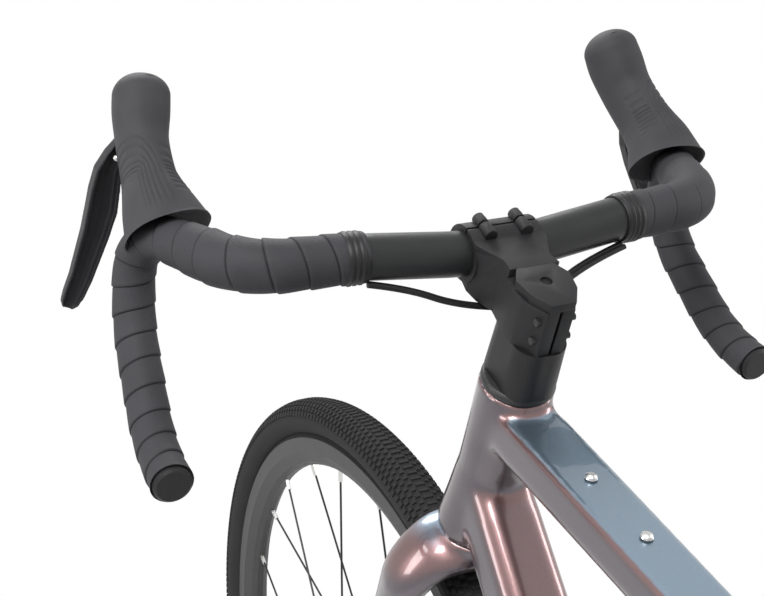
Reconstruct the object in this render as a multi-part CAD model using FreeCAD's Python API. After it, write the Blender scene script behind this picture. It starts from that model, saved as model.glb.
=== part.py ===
import FreeCAD, Part
import math
import os

V = FreeCAD.Vector
full_turn = 360.0
left_way = V(0, 1, 0)
sky_way = V(0, 0, 1)
front_way = V(1, 0, 0)

# Fits
running_gap = 0.05
face_gap = 0.3
overrun = 6.0

# Layout of the bike
wheel_base = 1034.0
wheel_radius = 351.0
head_angle = 71.0
fork_offset = 48.0
axle_to_crown = 395.0
head_tube_length = 145.0
bottom_bracket_drop = 72.0
chainstay_length = 430.0
seat_angle = 73.5
seat_tube_length = 516.0
saddle_height = 735.0

# Head tube and headset
head_top_radius = 27.2
head_waist_radius = 26.4
head_foot_radius = 30.5
head_bore_radius = 23.6
head_neck_radius = 18.6
upper_bearing_radius = 20.9
lower_bearing_radius = 26.0
bearing_height = 8.0
steerer_radius = 14.3
steerer_foot_radius = 19.9
steerer_wall = 2.4
steerer_taper_start = 28.0
steerer_taper_end = 78.0

# Frame tubes
tube_wall = 2.2
top_tube_width = 46.0
top_tube_height = 37.0
top_tube_rear_width = 38.0
top_tube_rear_height = 30.0
top_tube_drop = 13.6
top_tube_slope = 8.4
top_tube_bevel = 5.5
top_tube_belly = 13.0
down_tube_width = 50.0
down_tube_height = 50.0
down_tube_rear_width = 62.0
down_tube_rear_height = 48.0
down_tube_round = 15.0
down_tube_rise = 46.0
seat_tube_radius = 17.2
seatpost_radius = 13.6
shell_width = 86.0
shell_radius = 24.0
shell_bore_radius = 20.6
spindle_radius = 12.0
shell_bearing_width = 9.0

# Accessory bolts and bottle bosses
accessory_reach = 102.0
accessory_spacing = 64.0
accessory_boss_radius = 5.6
accessory_boss_height = 1.2
bolt_shank_radius = 2.5
bolt_head_radius = 4.4
bolt_head_height = 2.6
bolt_length = 11.0
boss_radius = 5.0
boss_height = 1.4
boss_depth = 11.0
boss_hole_radius = 2.1
down_boss_reach = 250.0
seat_boss_reach = 190.0

# Rear stays and dropouts
rear_spacing = 142.0
front_spacing = 100.0
dropout_thickness = 8.0
dropout_radius = 16.5
axle_radius = 6.0
axle_head_radius = 9.0
axle_head_length = 5.0
stay_sides = 10
chainstay_half_width = 8.0
chainstay_half_height = 11.0
chainstay_tyre_room = 37.0
chainstay_start_spread = 25.0
seatstay_half_width = 6.8
seatstay_half_height = 8.5
seatstay_join_drop = 92.0
seatstay_start_spread = 13.0
seatstay_tyre_room = 39.0
hanger_drop = 29.0
hanger_back = 9.0
hanger_radius = 9.5

# Seat
clamp_collar_height = 14.0
clamp_collar_wall = 4.0
clamp_lug_length = 9.0
clamp_lug_width = 14.0
clamp_slot = 1.6
seatpost_insert = 130.0
seatpost_wall = 2.0
saddle_length = 268.0
saddle_width = 143.0
saddle_nose_width = 38.0
saddle_depth = 28.0
saddle_setback = 18.0
rail_radius = 3.5
rail_spread = 22.0
rail_drop = 46.0
rail_bend_radius = 24.0
rail_clamp_length = 44.0
post_head_radius = 15.0
post_head_length = 40.0
rail_grip_height = 8.0

# Fork
blade_sides = 14
crown_depth = 30.0
crown_half_length = 29.5
blade_spread = 50.0
blade_half_depth = 22.0
blade_half_width = 13.5
front_dropout_radius = 15.5
front_dropout_thickness = 10.0

# Stem, spacers and cover
cover_height = 6.0
cover_radius = 26.6
spacer_heights = (17.0, 5.0, 5.0, 13.0)
spacer_half_width = 19.6
spacer_half_length = 25.6
stem_clamp_height = 37.0
stem_half_width = 20.4
stem_rear = 24.5
stem_cap_height = 7.0
stem_cap_front = 16.0
stem_reach = 63.0
bar_height = 68.9
bar_clamp_radius = 20.2
bar_clamp_half_width = 27.0
stem_waist_half_width = 17.5
stem_chin_drop = 9.0
faceplate_gap = 1.6
faceplate_bolt_spread = 14.0
faceplate_bolt_rise = 20.6
faceplate_lug_radius = 4.6
faceplate_lug_length = 11.0
cap_bolt_radius = 4.2
clamp_bolt_radius = 2.6
clamp_bolt_places = (11.0, 27.0)
stem_slot_width = 2.2

# Handlebar
bar_radius = 15.9
bar_ramp_radius = 14.5
bar_end_radius = 12.0
bar_wall = 2.2
bar_tape_start = 100.0
bar_tape_rise = 6.2
bar_tape_sweep = 4.4
bar_flat_half = 34.0
bar_flat_bend = 100.0
bar_reach = 113.0
bar_drop = 130.0
bar_end_half_width = 238.6
tape_thickness = 2.9
tape_edge_thickness = 1.6
tape_corner_thickness = 4.0
plug_radius = 13.6
plug_lip = 4.0
plug_depth = 18.0

# Lever hoods, brackets and levers
hood_reach = 176.0
hood_rise = 101.0
hood_half_width = 192.0
hood_radius = 19.0
hood_skin = 2.6
lever_pivot_reach = 158.0
lever_pivot_rise = 46.0
lever_pivot_half_width = 201.0
lever_pin_radius = 2.5
lever_root_radius = 7.0
lever_root_thickness = 8.0
lever_slot_gap = 0.6
lever_sides = 8
lever_notch_half = 12.0
lever_notch_shift = 5.0
lever_drop = 106.0
lever_throw = 9.0
lever_flare = 56.0
lever_half_width = 12.0
lever_half_depth = 8.0
paddle_offset = 10.5
paddle_thickness = 3.0
paddle_width = 12.0
paddle_length = 40.0
paddle_pin_radius = 1.6

# Hoses
hose_radius = 2.5
cable_radius = 2.0
hose_back = 16.0
hose_sag = 36.0
guide_half_width = 11.0
guide_reach = 36.0
guide_drop_height = 6.0
guide_half_length = 7.5
guide_height = 13.0

# Wheels
rim_radius = 315.5
rim_depth = 27.5
rim_half_width = 13.4
rim_wall = 2.0
rim_bed_drop = 9.0
tyre_half_width = 20.4
tyre_wall = 2.6
bead_depth = 5.2
spokes_per_wheel = 24
spoke_radius = 1.0
spoke_sides = 6
nipple_radius = 2.0
nipple_length = 11.0
spoke_cross_turn = 66.0
flange_thickness = 3.4
flange_hole_inset = 2.6
front_flange_radius = 25.0
front_flange_left = 22.0
front_flange_right = 34.0
rear_flange_radius = 27.0
rear_flange_left = 33.0
rear_flange_right = 20.0
hub_waist_radius = 12.5
hub_end_radius = 9.5
rotor_radius = 80.0
rotor_band = 14.0
rotor_thickness = 1.8
rotor_carrier_radius = 24.0
rotor_arm_width = 7.0
rotor_arm_count = 6
front_rotor_offset = 39.7
rear_rotor_offset = 55.7

# Brake calipers and pads
pad_gap = 0.4
pad_thickness = 3.0
pad_length = 24.0
pad_height = 15.0
caliper_wall = 8.0
caliper_length = 58.0
caliper_bridge = 7.0
caliper_seat_gap = 0.2

# Drive
chain_pitch = 12.7
chain_line = 45.5
chain_links_step = 2
chain_plate_half_height = 3.9
chain_plate_thickness = 0.7
chain_inner_half_gap = 1.1
chain_plate_step = 0.75
chain_plate_overhang = 4.0
sprocket_thickness = 1.8
tooth_rise = 2.6
tooth_root = 3.6
chainring_teeth = 40
chainring_rim = 9.0
cog_teeth = (42, 37, 32, 28, 24, 21, 19, 17, 15, 13, 11)
cog_spacing = 3.7
chain_cog = 5
freehub_radius = 17.0
jockey_teeth = 12
jockey_thickness = 2.0
jockey_bore_radius = 3.2
crank_length = 172.5
crank_hub_radius = 17.0
crank_eye_radius = 13.5
crank_thickness = 13.0
crank_inner_face = 58.0
crank_spider_width = 11.0
crank_spider_arms = 4
pedal_length = 96.0
pedal_width = 92.0
pedal_thickness = 15.0
pedal_bar = 13.0
pedal_barrel_radius = 9.5
pedal_spindle_radius = 6.0
pedal_gap = 4.0

# Rear derailleur
guide_drop = 120.0
guide_forward = 4.0
cage_length = 89.0
cage_nominal_angle = -64.0
cage_plate_thickness = 2.2
cage_half_gap = 4.6
cage_plate_radius = 11.0
base_knuckle_radius = 10.5
base_knuckle_length = 15.0
link_width = 12.0
link_thickness = 11.0
link_pin_radius = 2.5
knuckle_radius = 12.0
knuckle_length = 17.0
link_cheek = 2.6
cage_pivot_radius = 5.0

# Places worked out from the layout
half_base = wheel_base / 2
front_axle_point = V(half_base, 0, wheel_radius)
rear_axle_point = V(-half_base, 0, wheel_radius)
head_turn = math.radians(head_angle)
seat_turn = math.radians(seat_angle)
steer_up = V(-math.cos(head_turn), 0, math.sin(head_turn))
steer_fore = V(math.sin(head_turn), 0, math.cos(head_turn))
crown_rise = math.sqrt(axle_to_crown ** 2 - fork_offset ** 2)
crown_point = front_axle_point - steer_fore * fork_offset + steer_up * crown_rise
head_top_point = crown_point + steer_up * head_tube_length
shell_ahead = math.sqrt(chainstay_length ** 2 - bottom_bracket_drop ** 2)
shell_point = rear_axle_point + V(shell_ahead, 0, -bottom_bracket_drop)
seat_up = V(-math.cos(seat_turn), 0, math.sin(seat_turn))
seat_fore = V(math.sin(seat_turn), 0, math.cos(seat_turn))
seat_top_point = shell_point + seat_up * seat_tube_length
bar_center = head_top_point + steer_up * bar_height + steer_fore * stem_reach


# Helpers
def unit(way):
    length = way.Length
    return V(way.x / length, way.y / length, way.z / length)


def mirrored(shape):
    return shape.mirror(V(0, 0, 0), left_way)


def both_sides(shape):
    return [shape, mirrored(shape)]


def joined(shapes):
    whole = shapes[0].multiFuse(shapes[1:])
    return whole.removeSplitter()


def rod(start, end, radius):
    way = end - start
    return Part.makeCylinder(radius, way.Length, start, way)


def rod_along(start, way, length, radius):
    return Part.makeCylinder(radius, length, start, way)


def pipe(start, end, outer_radius, inner_radius):
    spare = unit(end - start) * overrun
    return rod(start, end, outer_radius).cut(rod(start - spare, end + spare, inner_radius))


def placed(shape, origin, way):
    shape.Placement = FreeCAD.Placement(origin, FreeCAD.Rotation(sky_way, way))
    return shape


def turned(outline, origin, way):
    """Solid of revolution from (radius, height) corners."""
    corners = [V(radius, 0, height) for radius, height in outline]
    wire = Part.makePolygon(corners + corners[:1])
    solid = Part.Face(wire).revolve(V(0, 0, 0), sky_way, full_turn)
    return placed(solid, origin, way)


def plate(corners, thickness_way):
    """Flat piece from its corners, drawn out by a vector."""
    wire = Part.makePolygon(list(corners) + [corners[0]])
    return Part.Face(wire).extrude(thickness_way)


def oval(center, across, upward, half_across, half_up):
    """Closed smooth section with unit directions across and upward."""
    count = 8
    points = []
    for step in range(count):
        angle = 2 * math.pi * step / count
        swing = across * (half_across * math.cos(angle))
        lift = upward * (half_up * math.sin(angle))
        points.append(center + swing + lift)
    curve = Part.BSplineCurve()
    curve.interpolate(Points=points, PeriodicFlag=True)
    return Part.Wire([curve.toShape()])


def panel(center, across, upward, width, height, top_round, low_round):
    """Section with straight sides and round corners."""
    def corner(side, level, size):
        return center + across * (side * width / 2) + upward * (level * height / 2), size

    rounds = [corner(1, 1, top_round), corner(-1, 1, top_round), corner(-1, -1, low_round),
              corner(1, -1, low_round)]
    count = len(rounds)
    starts = []
    ends = []
    arcs = []
    for index in range(count):
        here, size = rounds[index]
        before = unit(rounds[index - 1][0] - here)
        after = unit(rounds[(index + 1) % count][0] - here)
        start = here + before * size
        end = here + after * size
        middle_way = unit(before + after)
        middle = here + middle_way * (size * (math.sqrt(2) - 1))
        starts.append(start)
        ends.append(end)
        arcs.append(Part.Arc(start, middle, end).toShape())
    edges = []
    for index in range(count):
        edges.append(arcs[index])
        edges.append(Part.LineSegment(ends[index], starts[(index + 1) % count]).toShape())
    return Part.Wire(edges)


def flat_panel(center, across, upward, width, height, top_round, low_round):
    """Section with straight sides and corners rounded by a few flats."""
    flats = 3
    corners = ((1, 1, top_round, 0), (-1, 1, top_round, 1), (-1, -1, low_round, 2), (1, -1, low_round, 3))
    points = []
    for side, level, size, quarter in corners:
        middle = center + across * (side * (width / 2 - size)) + upward * (level * (height / 2 - size))
        for step in range(flats + 1):
            turn = math.pi / 2 * (quarter + step / flats)
            points.append(middle + across * (size * math.cos(turn)) + upward * (size * math.sin(turn)))
    return Part.makePolygon(points + [points[0]])


def facet_ring(center, across, upward, half_across, half_up, sides):
    """Closed section with flat sides, about as large as the oval that it stands for."""
    swell = 1 / math.sqrt(math.cos(math.pi / sides))
    points = []
    for step in range(sides):
        angle = 2 * math.pi * (step + 0.5) / sides
        swing = across * (half_across * swell * math.cos(angle))
        lift = upward * (half_up * swell * math.sin(angle))
        points.append(center + swing + lift)
    return Part.makePolygon(points + [points[0]])


def loft(sections):
    """Solid through closed sections, kept to a low degree so that it cannot swing out between them."""
    degree = 2
    return Part.makeLoft(sections, True, False, False, degree)


def straight_loft(sections):
    """Solid with straight lines between closed sections."""
    return Part.makeLoft(sections, True, True)


def carried_frames(points, across, upward):
    """A section frame at each point of a path, carried along without twist."""
    frames = []
    last = None
    for index in range(len(points)):
        before = points[max(index - 1, 0)]
        after = points[min(index + 1, len(points) - 1)]
        way = unit(after - before)
        if last is None:
            last = unit(across.cross(upward))
        turn = FreeCAD.Rotation(last, way)
        across = turn.multVec(across)
        upward = turn.multVec(upward)
        last = way
        frames.append((points[index], across, upward))
    return frames


def tube_loft(points, across, upward, half_sizes):
    """Smooth solid through oval sections along a path."""
    sections = []
    for frame, halves in zip(carried_frames(points, across, upward), half_sizes):
        center, side, lift = frame
        sections.append(oval(center, side, lift, halves[0], halves[1]))
    return loft(sections)


def facet_loft(points, across, upward, half_sizes, sides):
    """Solid through flat-sided sections along a path."""
    sections = []
    for frame, halves in zip(carried_frames(points, across, upward), half_sizes):
        center, side, lift = frame
        sections.append(facet_ring(center, side, lift, halves[0], halves[1], sides))
    return loft(sections)


def rounded_path(points, radii):
    """Straight runs joined by tangent arcs."""
    edges = []
    start = points[0]
    for index in range(1, len(points) - 1):
        corner = points[index]
        back = unit(points[index - 1] - corner)
        ahead = unit(points[index + 1] - corner)
        half = back.getAngle(ahead) / 2
        radius = radii[index - 1]
        setback = radius / math.tan(half)
        arc_start = corner + back * setback
        arc_end = corner + ahead * setback
        bisector = unit(back + ahead)
        arc_middle = corner + bisector * (radius / math.sin(half) - radius)
        edges.append(Part.LineSegment(start, arc_start).toShape())
        edges.append(Part.Arc(arc_start, arc_middle, arc_end).toShape())
        start = arc_end
    edges.append(Part.LineSegment(start, points[-1]).toShape())
    return Part.Wire(edges)


def wire_rod(points, radii, radius):
    """Round rod along straight runs and tangent arcs."""
    pieces = []
    for edge in rounded_path(points, radii).Edges:
        start = edge.valueAt(edge.FirstParameter)
        way = edge.tangentAt(edge.FirstParameter)
        if isinstance(edge.Curve, Part.Line):
            pieces.append(rod_along(start, way, edge.Length, radius))
        else:
            disc = Part.Face(Part.Wire([Part.Circle(start, way, radius).toShape()]))
            turn = math.degrees(edge.Length / edge.Curve.Radius)
            axis = unit((start - edge.Curve.Center).cross(way))
            pieces.append(disc.revolve(edge.Curve.Center, axis, turn))
    return joined(pieces)


def path_radii(points):
    """The largest arc at each corner that its two runs allow."""
    reach_share = 0.45
    radii = []
    for index in range(1, len(points) - 1):
        back = points[index - 1] - points[index]
        ahead = points[index + 1] - points[index]
        half_bend = (math.pi - back.getAngle(ahead)) / 2
        radii.append(reach_share * min(back.Length, ahead.Length) / math.tan(half_bend))
    return radii


def bar_round(first, second, first_radius, second_radius, thickness_way):
    """Flat arm with round ends around two points, drawn out by a vector."""
    way = second - first
    disc = joined([rod_along(first, thickness_way, thickness_way.Length, first_radius),
                   rod_along(second, thickness_way, thickness_way.Length, second_radius)])
    side = unit(thickness_way.cross(way))
    lean = (first_radius - second_radius) / way.Length
    rise = math.sqrt(1 - lean ** 2)
    forward = unit(way)
    edge = forward * lean + side * rise
    other = forward * lean - side * rise
    corners = [first + edge * first_radius, second + edge * second_radius,
               second + other * second_radius, first + other * first_radius]
    return joined([disc, plate(corners, thickness_way)])


def steering(fore, left, rise):
    """A point in the stem's own frame, from the top of the head tube."""
    return head_top_point + steer_fore * fore + left_way * left + steer_up * rise


def from_bar(reach, left, rise):
    """A point placed from the middle of the handlebar."""
    return bar_center + V(reach, left, rise)


# Frame
def head_tube_outline():
    waist_height = head_tube_length * 0.45
    return [(head_foot_radius, 0), (head_foot_radius, head_tube_length * 0.06),
            (head_waist_radius, waist_height), (head_top_radius, head_tube_length)]


def head_tube_outer():
    outline = head_tube_outline()
    return turned([(0, 0)] + outline + [(0, head_tube_length)], crown_point, steer_up)


def head_tube():
    neck_start = steerer_taper_end + overrun
    outline = head_tube_outline()
    inside = [(upper_bearing_radius, head_tube_length),
              (upper_bearing_radius, head_tube_length - bearing_height),
              (head_neck_radius, head_tube_length - bearing_height),
              (head_neck_radius, neck_start),
              (head_bore_radius, neck_start - bearing_height),
              (head_bore_radius, bearing_height),
              (lower_bearing_radius, bearing_height),
              (lower_bearing_radius, 0)]
    return turned(outline + inside, crown_point, steer_up)


def frame_bearings():
    upper_base = head_top_point - steer_up * bearing_height
    lower_base = crown_point
    pieces = [turned(ring_outline(upper_bearing_radius, steerer_radius + running_gap, bearing_height),
                     upper_base, steer_up),
              turned(ring_outline(lower_bearing_radius, steerer_foot_radius + running_gap, bearing_height),
                     lower_base, steer_up)]
    outer_face = shell_width / 2
    ring = turned(ring_outline(shell_bore_radius, spindle_radius + running_gap, shell_bearing_width),
                  shell_point + left_way * (outer_face - shell_bearing_width), left_way)
    return pieces + both_sides(ring)


def ring_outline(outer_radius, inner_radius, height):
    return [(inner_radius, 0), (outer_radius, 0), (outer_radius, height), (inner_radius, height)]


def top_tube_line():
    slope = math.radians(top_tube_slope)
    way = V(-math.cos(slope), 0, -math.sin(slope))
    normal = V(-math.sin(slope), 0, math.cos(slope))
    start = head_top_point - steer_up * top_tube_drop
    run = seat_top_point - start
    reach = run.x / way.x
    return start, way, normal, reach


def top_tube_section(share, shrink):
    start, way, normal, reach = top_tube_line()
    width = top_tube_width + (top_tube_rear_width - top_tube_width) * share - 2 * shrink
    height = top_tube_height + (top_tube_rear_height - top_tube_height) * share - 2 * shrink
    middle = start + way * (reach * share) - normal * (height / 2 + shrink)
    return flat_panel(middle, left_way, normal, width, height, top_tube_bevel - shrink,
                      top_tube_belly - shrink)


def top_tube_outer():
    return straight_loft([top_tube_section(0, 0), top_tube_section(1, 0)])


def top_tube_bolt_points():
    start, way, normal, reach = top_tube_line()
    first = start + way * accessory_reach
    return [first, first + way * accessory_spacing], normal


def top_tube():
    hollow = straight_loft([top_tube_section(0, tube_wall), top_tube_section(1, tube_wall)])
    body = top_tube_outer().cut(hollow)
    points, normal = top_tube_bolt_points()
    for spot in points:
        body = body.fuse(rod(spot - normal * tube_wall, spot + normal * accessory_boss_height,
                             accessory_boss_radius))
        body = body.fuse(rod(spot - normal * bolt_length, spot, accessory_boss_radius * 0.8))
    for spot in points:
        body = body.cut(rod(spot - normal * (bolt_length - tube_wall), spot + normal * overrun,
                            bolt_shank_radius + running_gap))
    return body.cut(head_tube_outer()).cut(seat_tube_outer())


def top_tube_bolts():
    points, normal = top_tube_bolt_points()
    bolts = []
    for spot in points:
        seat = spot + normal * accessory_boss_height
        shank = rod(spot - normal * (bolt_length - tube_wall * 2), seat, bolt_shank_radius)
        head = turned([(0, 0), (bolt_head_radius, 0), (bolt_head_radius * 0.86, bolt_head_height * 0.6),
                       (bolt_head_radius * 0.5, bolt_head_height), (0, bolt_head_height)], seat, normal)
        bolts.append(shank.fuse(head).removeSplitter())
    return bolts


def down_tube_line():
    start = crown_point + steer_up * down_tube_rise
    way = unit(shell_point - start)
    normal = unit(left_way.cross(way))
    return start, way, normal, (shell_point - start).Length


def down_tube_section(share, shrink):
    start, way, normal, reach = down_tube_line()
    width = down_tube_width + (down_tube_rear_width - down_tube_width) * share - 2 * shrink
    height = down_tube_height + (down_tube_rear_height - down_tube_height) * share - 2 * shrink
    return flat_panel(start + way * (reach * share), left_way, normal, width, height,
                 down_tube_round - shrink, down_tube_round - shrink)


def down_tube_outer():
    return straight_loft([down_tube_section(0, 0), down_tube_section(1, 0)])


def bottle_boss(spot, normal):
    """A threaded insert that stands a little proud of its tube."""
    return rod(spot - normal * boss_depth, spot + normal * boss_height, boss_radius)


def boss_drill(spot, normal):
    return rod(spot - normal * (boss_depth - tube_wall), spot + normal * overrun, boss_hole_radius)


def down_boss_points():
    start, way, normal, reach = down_tube_line()
    upward = normal if normal.z > 0 else normal * -1
    points = []
    for place in (down_boss_reach, down_boss_reach + accessory_spacing):
        share = place / reach
        height = down_tube_height + (down_tube_rear_height - down_tube_height) * share
        points.append(start + way * place + upward * (height / 2))
    return points, upward


def down_tube():
    hollow = straight_loft([down_tube_section(0, tube_wall), down_tube_section(1, tube_wall)])
    body = down_tube_outer().cut(hollow)
    points, normal = down_boss_points()
    for spot in points:
        body = body.fuse(bottle_boss(spot, normal)).cut(boss_drill(spot, normal))
    return body.cut(head_tube_outer()).cut(shell_solid())


def shell_solid():
    return rod_along(shell_point - left_way * (shell_width / 2), left_way, shell_width, shell_radius)


def bottom_bracket_shell():
    body = shell_solid()
    return body.cut(rod_along(shell_point - left_way * shell_width, left_way, 2 * shell_width,
                              shell_bore_radius))


def seat_tube_outer():
    return rod(shell_point, seat_top_point, seat_tube_radius)


def seat_boss_points():
    first = shell_point + seat_up * seat_boss_reach + seat_fore * seat_tube_radius
    return [first, first + seat_up * accessory_spacing]


def seat_tube():
    body = seat_tube_outer()
    for spot in seat_boss_points():
        body = body.fuse(rod(spot - seat_fore * tube_wall, spot + seat_fore * boss_height, boss_radius))
    body = body.cut(rod(shell_point, seat_top_point + seat_up * overrun, seatpost_radius + running_gap))
    for spot in seat_boss_points():
        body = body.cut(rod(spot - seat_fore * tube_wall * 3, spot + seat_fore * overrun, boss_hole_radius))
    return body.cut(shell_solid()).cut(down_tube_outer())


def seat_clamp():
    """Split collar with a bolt lug behind the seat tube."""
    inner = seat_tube_radius
    outer = inner + clamp_collar_wall
    base = seat_top_point - seat_up * clamp_collar_height
    collar = pipe(base, seat_top_point, outer, inner)

    def block(near, far, half, spare):
        start = base - left_way * half - seat_up * spare
        tall = seat_up * (clamp_collar_height + 2 * spare)
        corners = [start - seat_fore * near, start - seat_fore * far, start - seat_fore * far + tall,
                   start - seat_fore * near + tall]
        return plate(corners, left_way * (2 * half))

    lug = block(inner + clamp_collar_wall / 2, outer + clamp_lug_length * 0.6, clamp_lug_width / 2, 0)
    slot = block(inner - overrun, outer + clamp_lug_length, clamp_slot / 2, overrun)
    return collar.fuse(lug).removeSplitter().cut(slot)


def dropout_middle():
    return rear_spacing / 2 + dropout_thickness / 2


def chainstay():
    spread = dropout_middle()
    start = shell_point + V(-shell_radius * 0.5, chainstay_start_spread, 0)
    end = rear_axle_point + V(dropout_radius * 0.9, spread, 0)
    run = end - start
    tyre_share = 0.36
    bend_share = 0.74
    points = [start,
              V(start.x + run.x * tyre_share * 0.45, chainstay_tyre_room * 0.9,
                start.z + run.z * tyre_share * 0.45),
              V(start.x + run.x * tyre_share, chainstay_tyre_room, start.z + run.z * tyre_share),
              V(start.x + run.x * bend_share, spread * 0.9, start.z + run.z * bend_share),
              end]
    size_shares = (1.1, 1.0, 1.0, 0.92, 0.62)
    sizes = [(chainstay_half_height * share, chainstay_half_width * (share if share < 1 else 1))
             for share in size_shares]
    stay = facet_loft(points, sky_way, left_way, sizes, stay_sides)
    return stay.cut(shell_solid()).cut(down_tube_outer()).cut(dropout_plate(False)).cut(seat_tube_outer())


def seatstay():
    spread = dropout_middle()
    start = seat_top_point - seat_up * seatstay_join_drop + left_way * seatstay_start_spread
    end = rear_axle_point + V(dropout_radius * 0.25, spread, dropout_radius * 0.85)
    run = end - start
    tyre_share = 0.26
    points = [start,
              V(start.x + run.x * 0.1, (seatstay_start_spread + seatstay_tyre_room) / 2,
                start.z + run.z * 0.1),
              V(start.x + run.x * tyre_share, seatstay_tyre_room, start.z + run.z * tyre_share),
              V(start.x + run.x * 0.62, (seatstay_tyre_room + spread * 2) / 3, start.z + run.z * 0.62),
              end]
    size_shares = (1.0, 1.0, 1.0, 0.9, 0.75)
    sizes = [(seatstay_half_height * share, seatstay_half_width * share) for share in size_shares]
    stay = facet_loft(points, unit(V(-1, 0, 1)), left_way, sizes, stay_sides)
    return stay.cut(seat_tube_outer()).cut(dropout_plate(False))


def rear_stays():
    return both_sides(chainstay()) + both_sides(seatstay())


def dropout_plate(bored):
    base = rear_axle_point + left_way * (rear_spacing / 2)
    body = rod_along(base, left_way, dropout_thickness, dropout_radius)
    if bored:
        body = body.cut(rod_along(base - left_way * overrun, left_way, dropout_thickness + 2 * overrun,
                                  axle_radius + running_gap))
    return body


def hanger_point():
    return rear_axle_point + V(-hanger_back, 0, -hanger_drop)


def dropouts():
    left = dropout_plate(True)
    base = V(0, -rear_spacing / 2 - dropout_thickness, 0)
    arm = bar_round(rear_axle_point + base, hanger_point() + base, dropout_radius * 0.7, hanger_radius,
                    left_way * dropout_thickness)
    right = mirrored(dropout_plate(False)).fuse(arm).removeSplitter()
    right = right.cut(rod_along(rear_axle_point + base - left_way * overrun, left_way,
                                dropout_thickness + 2 * overrun, axle_radius + running_gap))
    return [left, right]


def through_axle(center, spacing, thickness):
    outer = spacing / 2 + thickness
    shaft = rod(center - left_way * outer, center + left_way * outer, axle_radius)
    head = rod_along(center + left_way * outer, left_way, axle_head_length, axle_head_radius)
    return shaft.fuse(head).removeSplitter()


def rear_axle():
    return through_axle(rear_axle_point, rear_spacing, dropout_thickness)


def front_axle():
    return through_axle(front_axle_point, front_spacing, front_dropout_thickness)


# Seat
def post_top_point():
    return shell_point + seat_up * (saddle_height - rail_drop - saddle_depth * 0.12)


def seatpost():
    low = seat_top_point - seat_up * seatpost_insert
    top = post_top_point()
    post = pipe(low, top - seat_up * post_head_radius, seatpost_radius, seatpost_radius - seatpost_wall)
    plug = rod(top - seat_up * (post_head_radius * 2), top, seatpost_radius)
    head = rod_along(top - V(0, post_head_length / 2, 0), left_way, post_head_length, post_head_radius)
    post = post.fuse(plug).fuse(head)
    rail_level = rail_height()
    cut_box = Part.makeBox(post_head_radius * 4, post_head_length * 2, post_head_radius * 2)
    cut_box.translate(V(top.x - post_head_radius * 2, -post_head_length, rail_level - rail_radius * 0.2))
    return post.cut(cut_box).cut(rail_grooves())


def rail_height():
    return post_top_point().z + post_head_radius * 0.45


def rail_points():
    middle = post_top_point().x - saddle_setback * 0.2
    level = rail_height()
    half = rail_clamp_length / 2
    tail = saddle_length * 0.30
    nose = saddle_length * 0.40
    rise = rail_drop * 0.62
    return [V(middle - half - tail, rail_spread * 2.0, level + rise),
            V(middle - half, rail_spread, level),
            V(middle + half, rail_spread, level),
            V(middle + half + nose, rail_spread * 0.45, level + rise)]


def rail_grooves():
    points = rail_points()
    groove = rod(points[1] - front_way * rail_clamp_length, points[2] + front_way * rail_clamp_length,
                 rail_radius + running_gap)
    return groove.fuse(mirrored(groove))


def saddle_rail(radius):
    return wire_rod(rail_points(), [rail_bend_radius, rail_bend_radius], radius)


def saddle_rails():
    return both_sides(saddle_rail(rail_radius))


def saddle_clamp():
    top = post_top_point()
    level = rail_height()
    length = rail_clamp_length * 0.8
    box = Part.makeBox(length, post_head_length + rail_radius * 3, rail_grip_height)
    box.translate(V(top.x - length / 2, -(post_head_length + rail_radius * 3) / 2, level + rail_radius * 0.2))
    shape = box.cut(rail_grooves())
    bolt = rod_along(V(top.x, 0, level - rail_radius * 0.2), sky_way, rail_grip_height * 1.4,
                     clamp_bolt_radius)
    return shape.fuse(bolt)


def saddle():
    """Padded saddle from nose to tail, with a drawn-in waist and a hollow centre line."""
    top = shell_point.z + seat_up.z * saddle_height
    tail_x = post_top_point().x - saddle_setback - saddle_length * 0.42
    half_wide = saddle_width / 2
    half_nose = saddle_nose_width / 2
    station_shares = (0.0, 0.10, 0.26, 0.48, 0.74, 0.94, 1.0)
    width_shares = (0.62, 0.93, 1.0, 0.62, 0.30, 0.25, 0.16)
    lift_shares = (0.22, 0.16, 0.06, -0.02, 0.0, -0.04, -0.12)
    depth_shares = (0.5, 0.8, 0.92, 1.0, 0.98, 0.9, 0.5)
    sections = []
    for place, wide, lift, deep in zip(station_shares, width_shares, lift_shares, depth_shares):
        center = V(tail_x + saddle_length * place, 0, top + saddle_depth * (lift - 0.5))
        half = max(half_wide * wide, half_nose * wide * 2)
        sections.append(saddle_section(center, half, saddle_depth * deep))
    body = loft(sections)
    for socket in both_sides(saddle_rail(rail_radius + running_gap)):
        body = body.cut(socket)
    return body


def saddle_section(center, half_width, depth):
    side_shares = (0.0, 0.42, 0.82, 1.0, 0.86, 0.4)
    level_shares = (0.40, 0.50, 0.34, -0.06, -0.44, -0.5)
    points = []
    for side, level in zip(side_shares, level_shares):
        points.append(center + V(0, half_width * side, depth * level))
    points.append(center + V(0, 0, -depth / 2))
    for side, level in reversed(list(zip(side_shares[1:], level_shares[1:]))):
        points.append(center + V(0, -half_width * side, depth * level))
    return Part.makePolygon(points + [points[0]])


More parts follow.
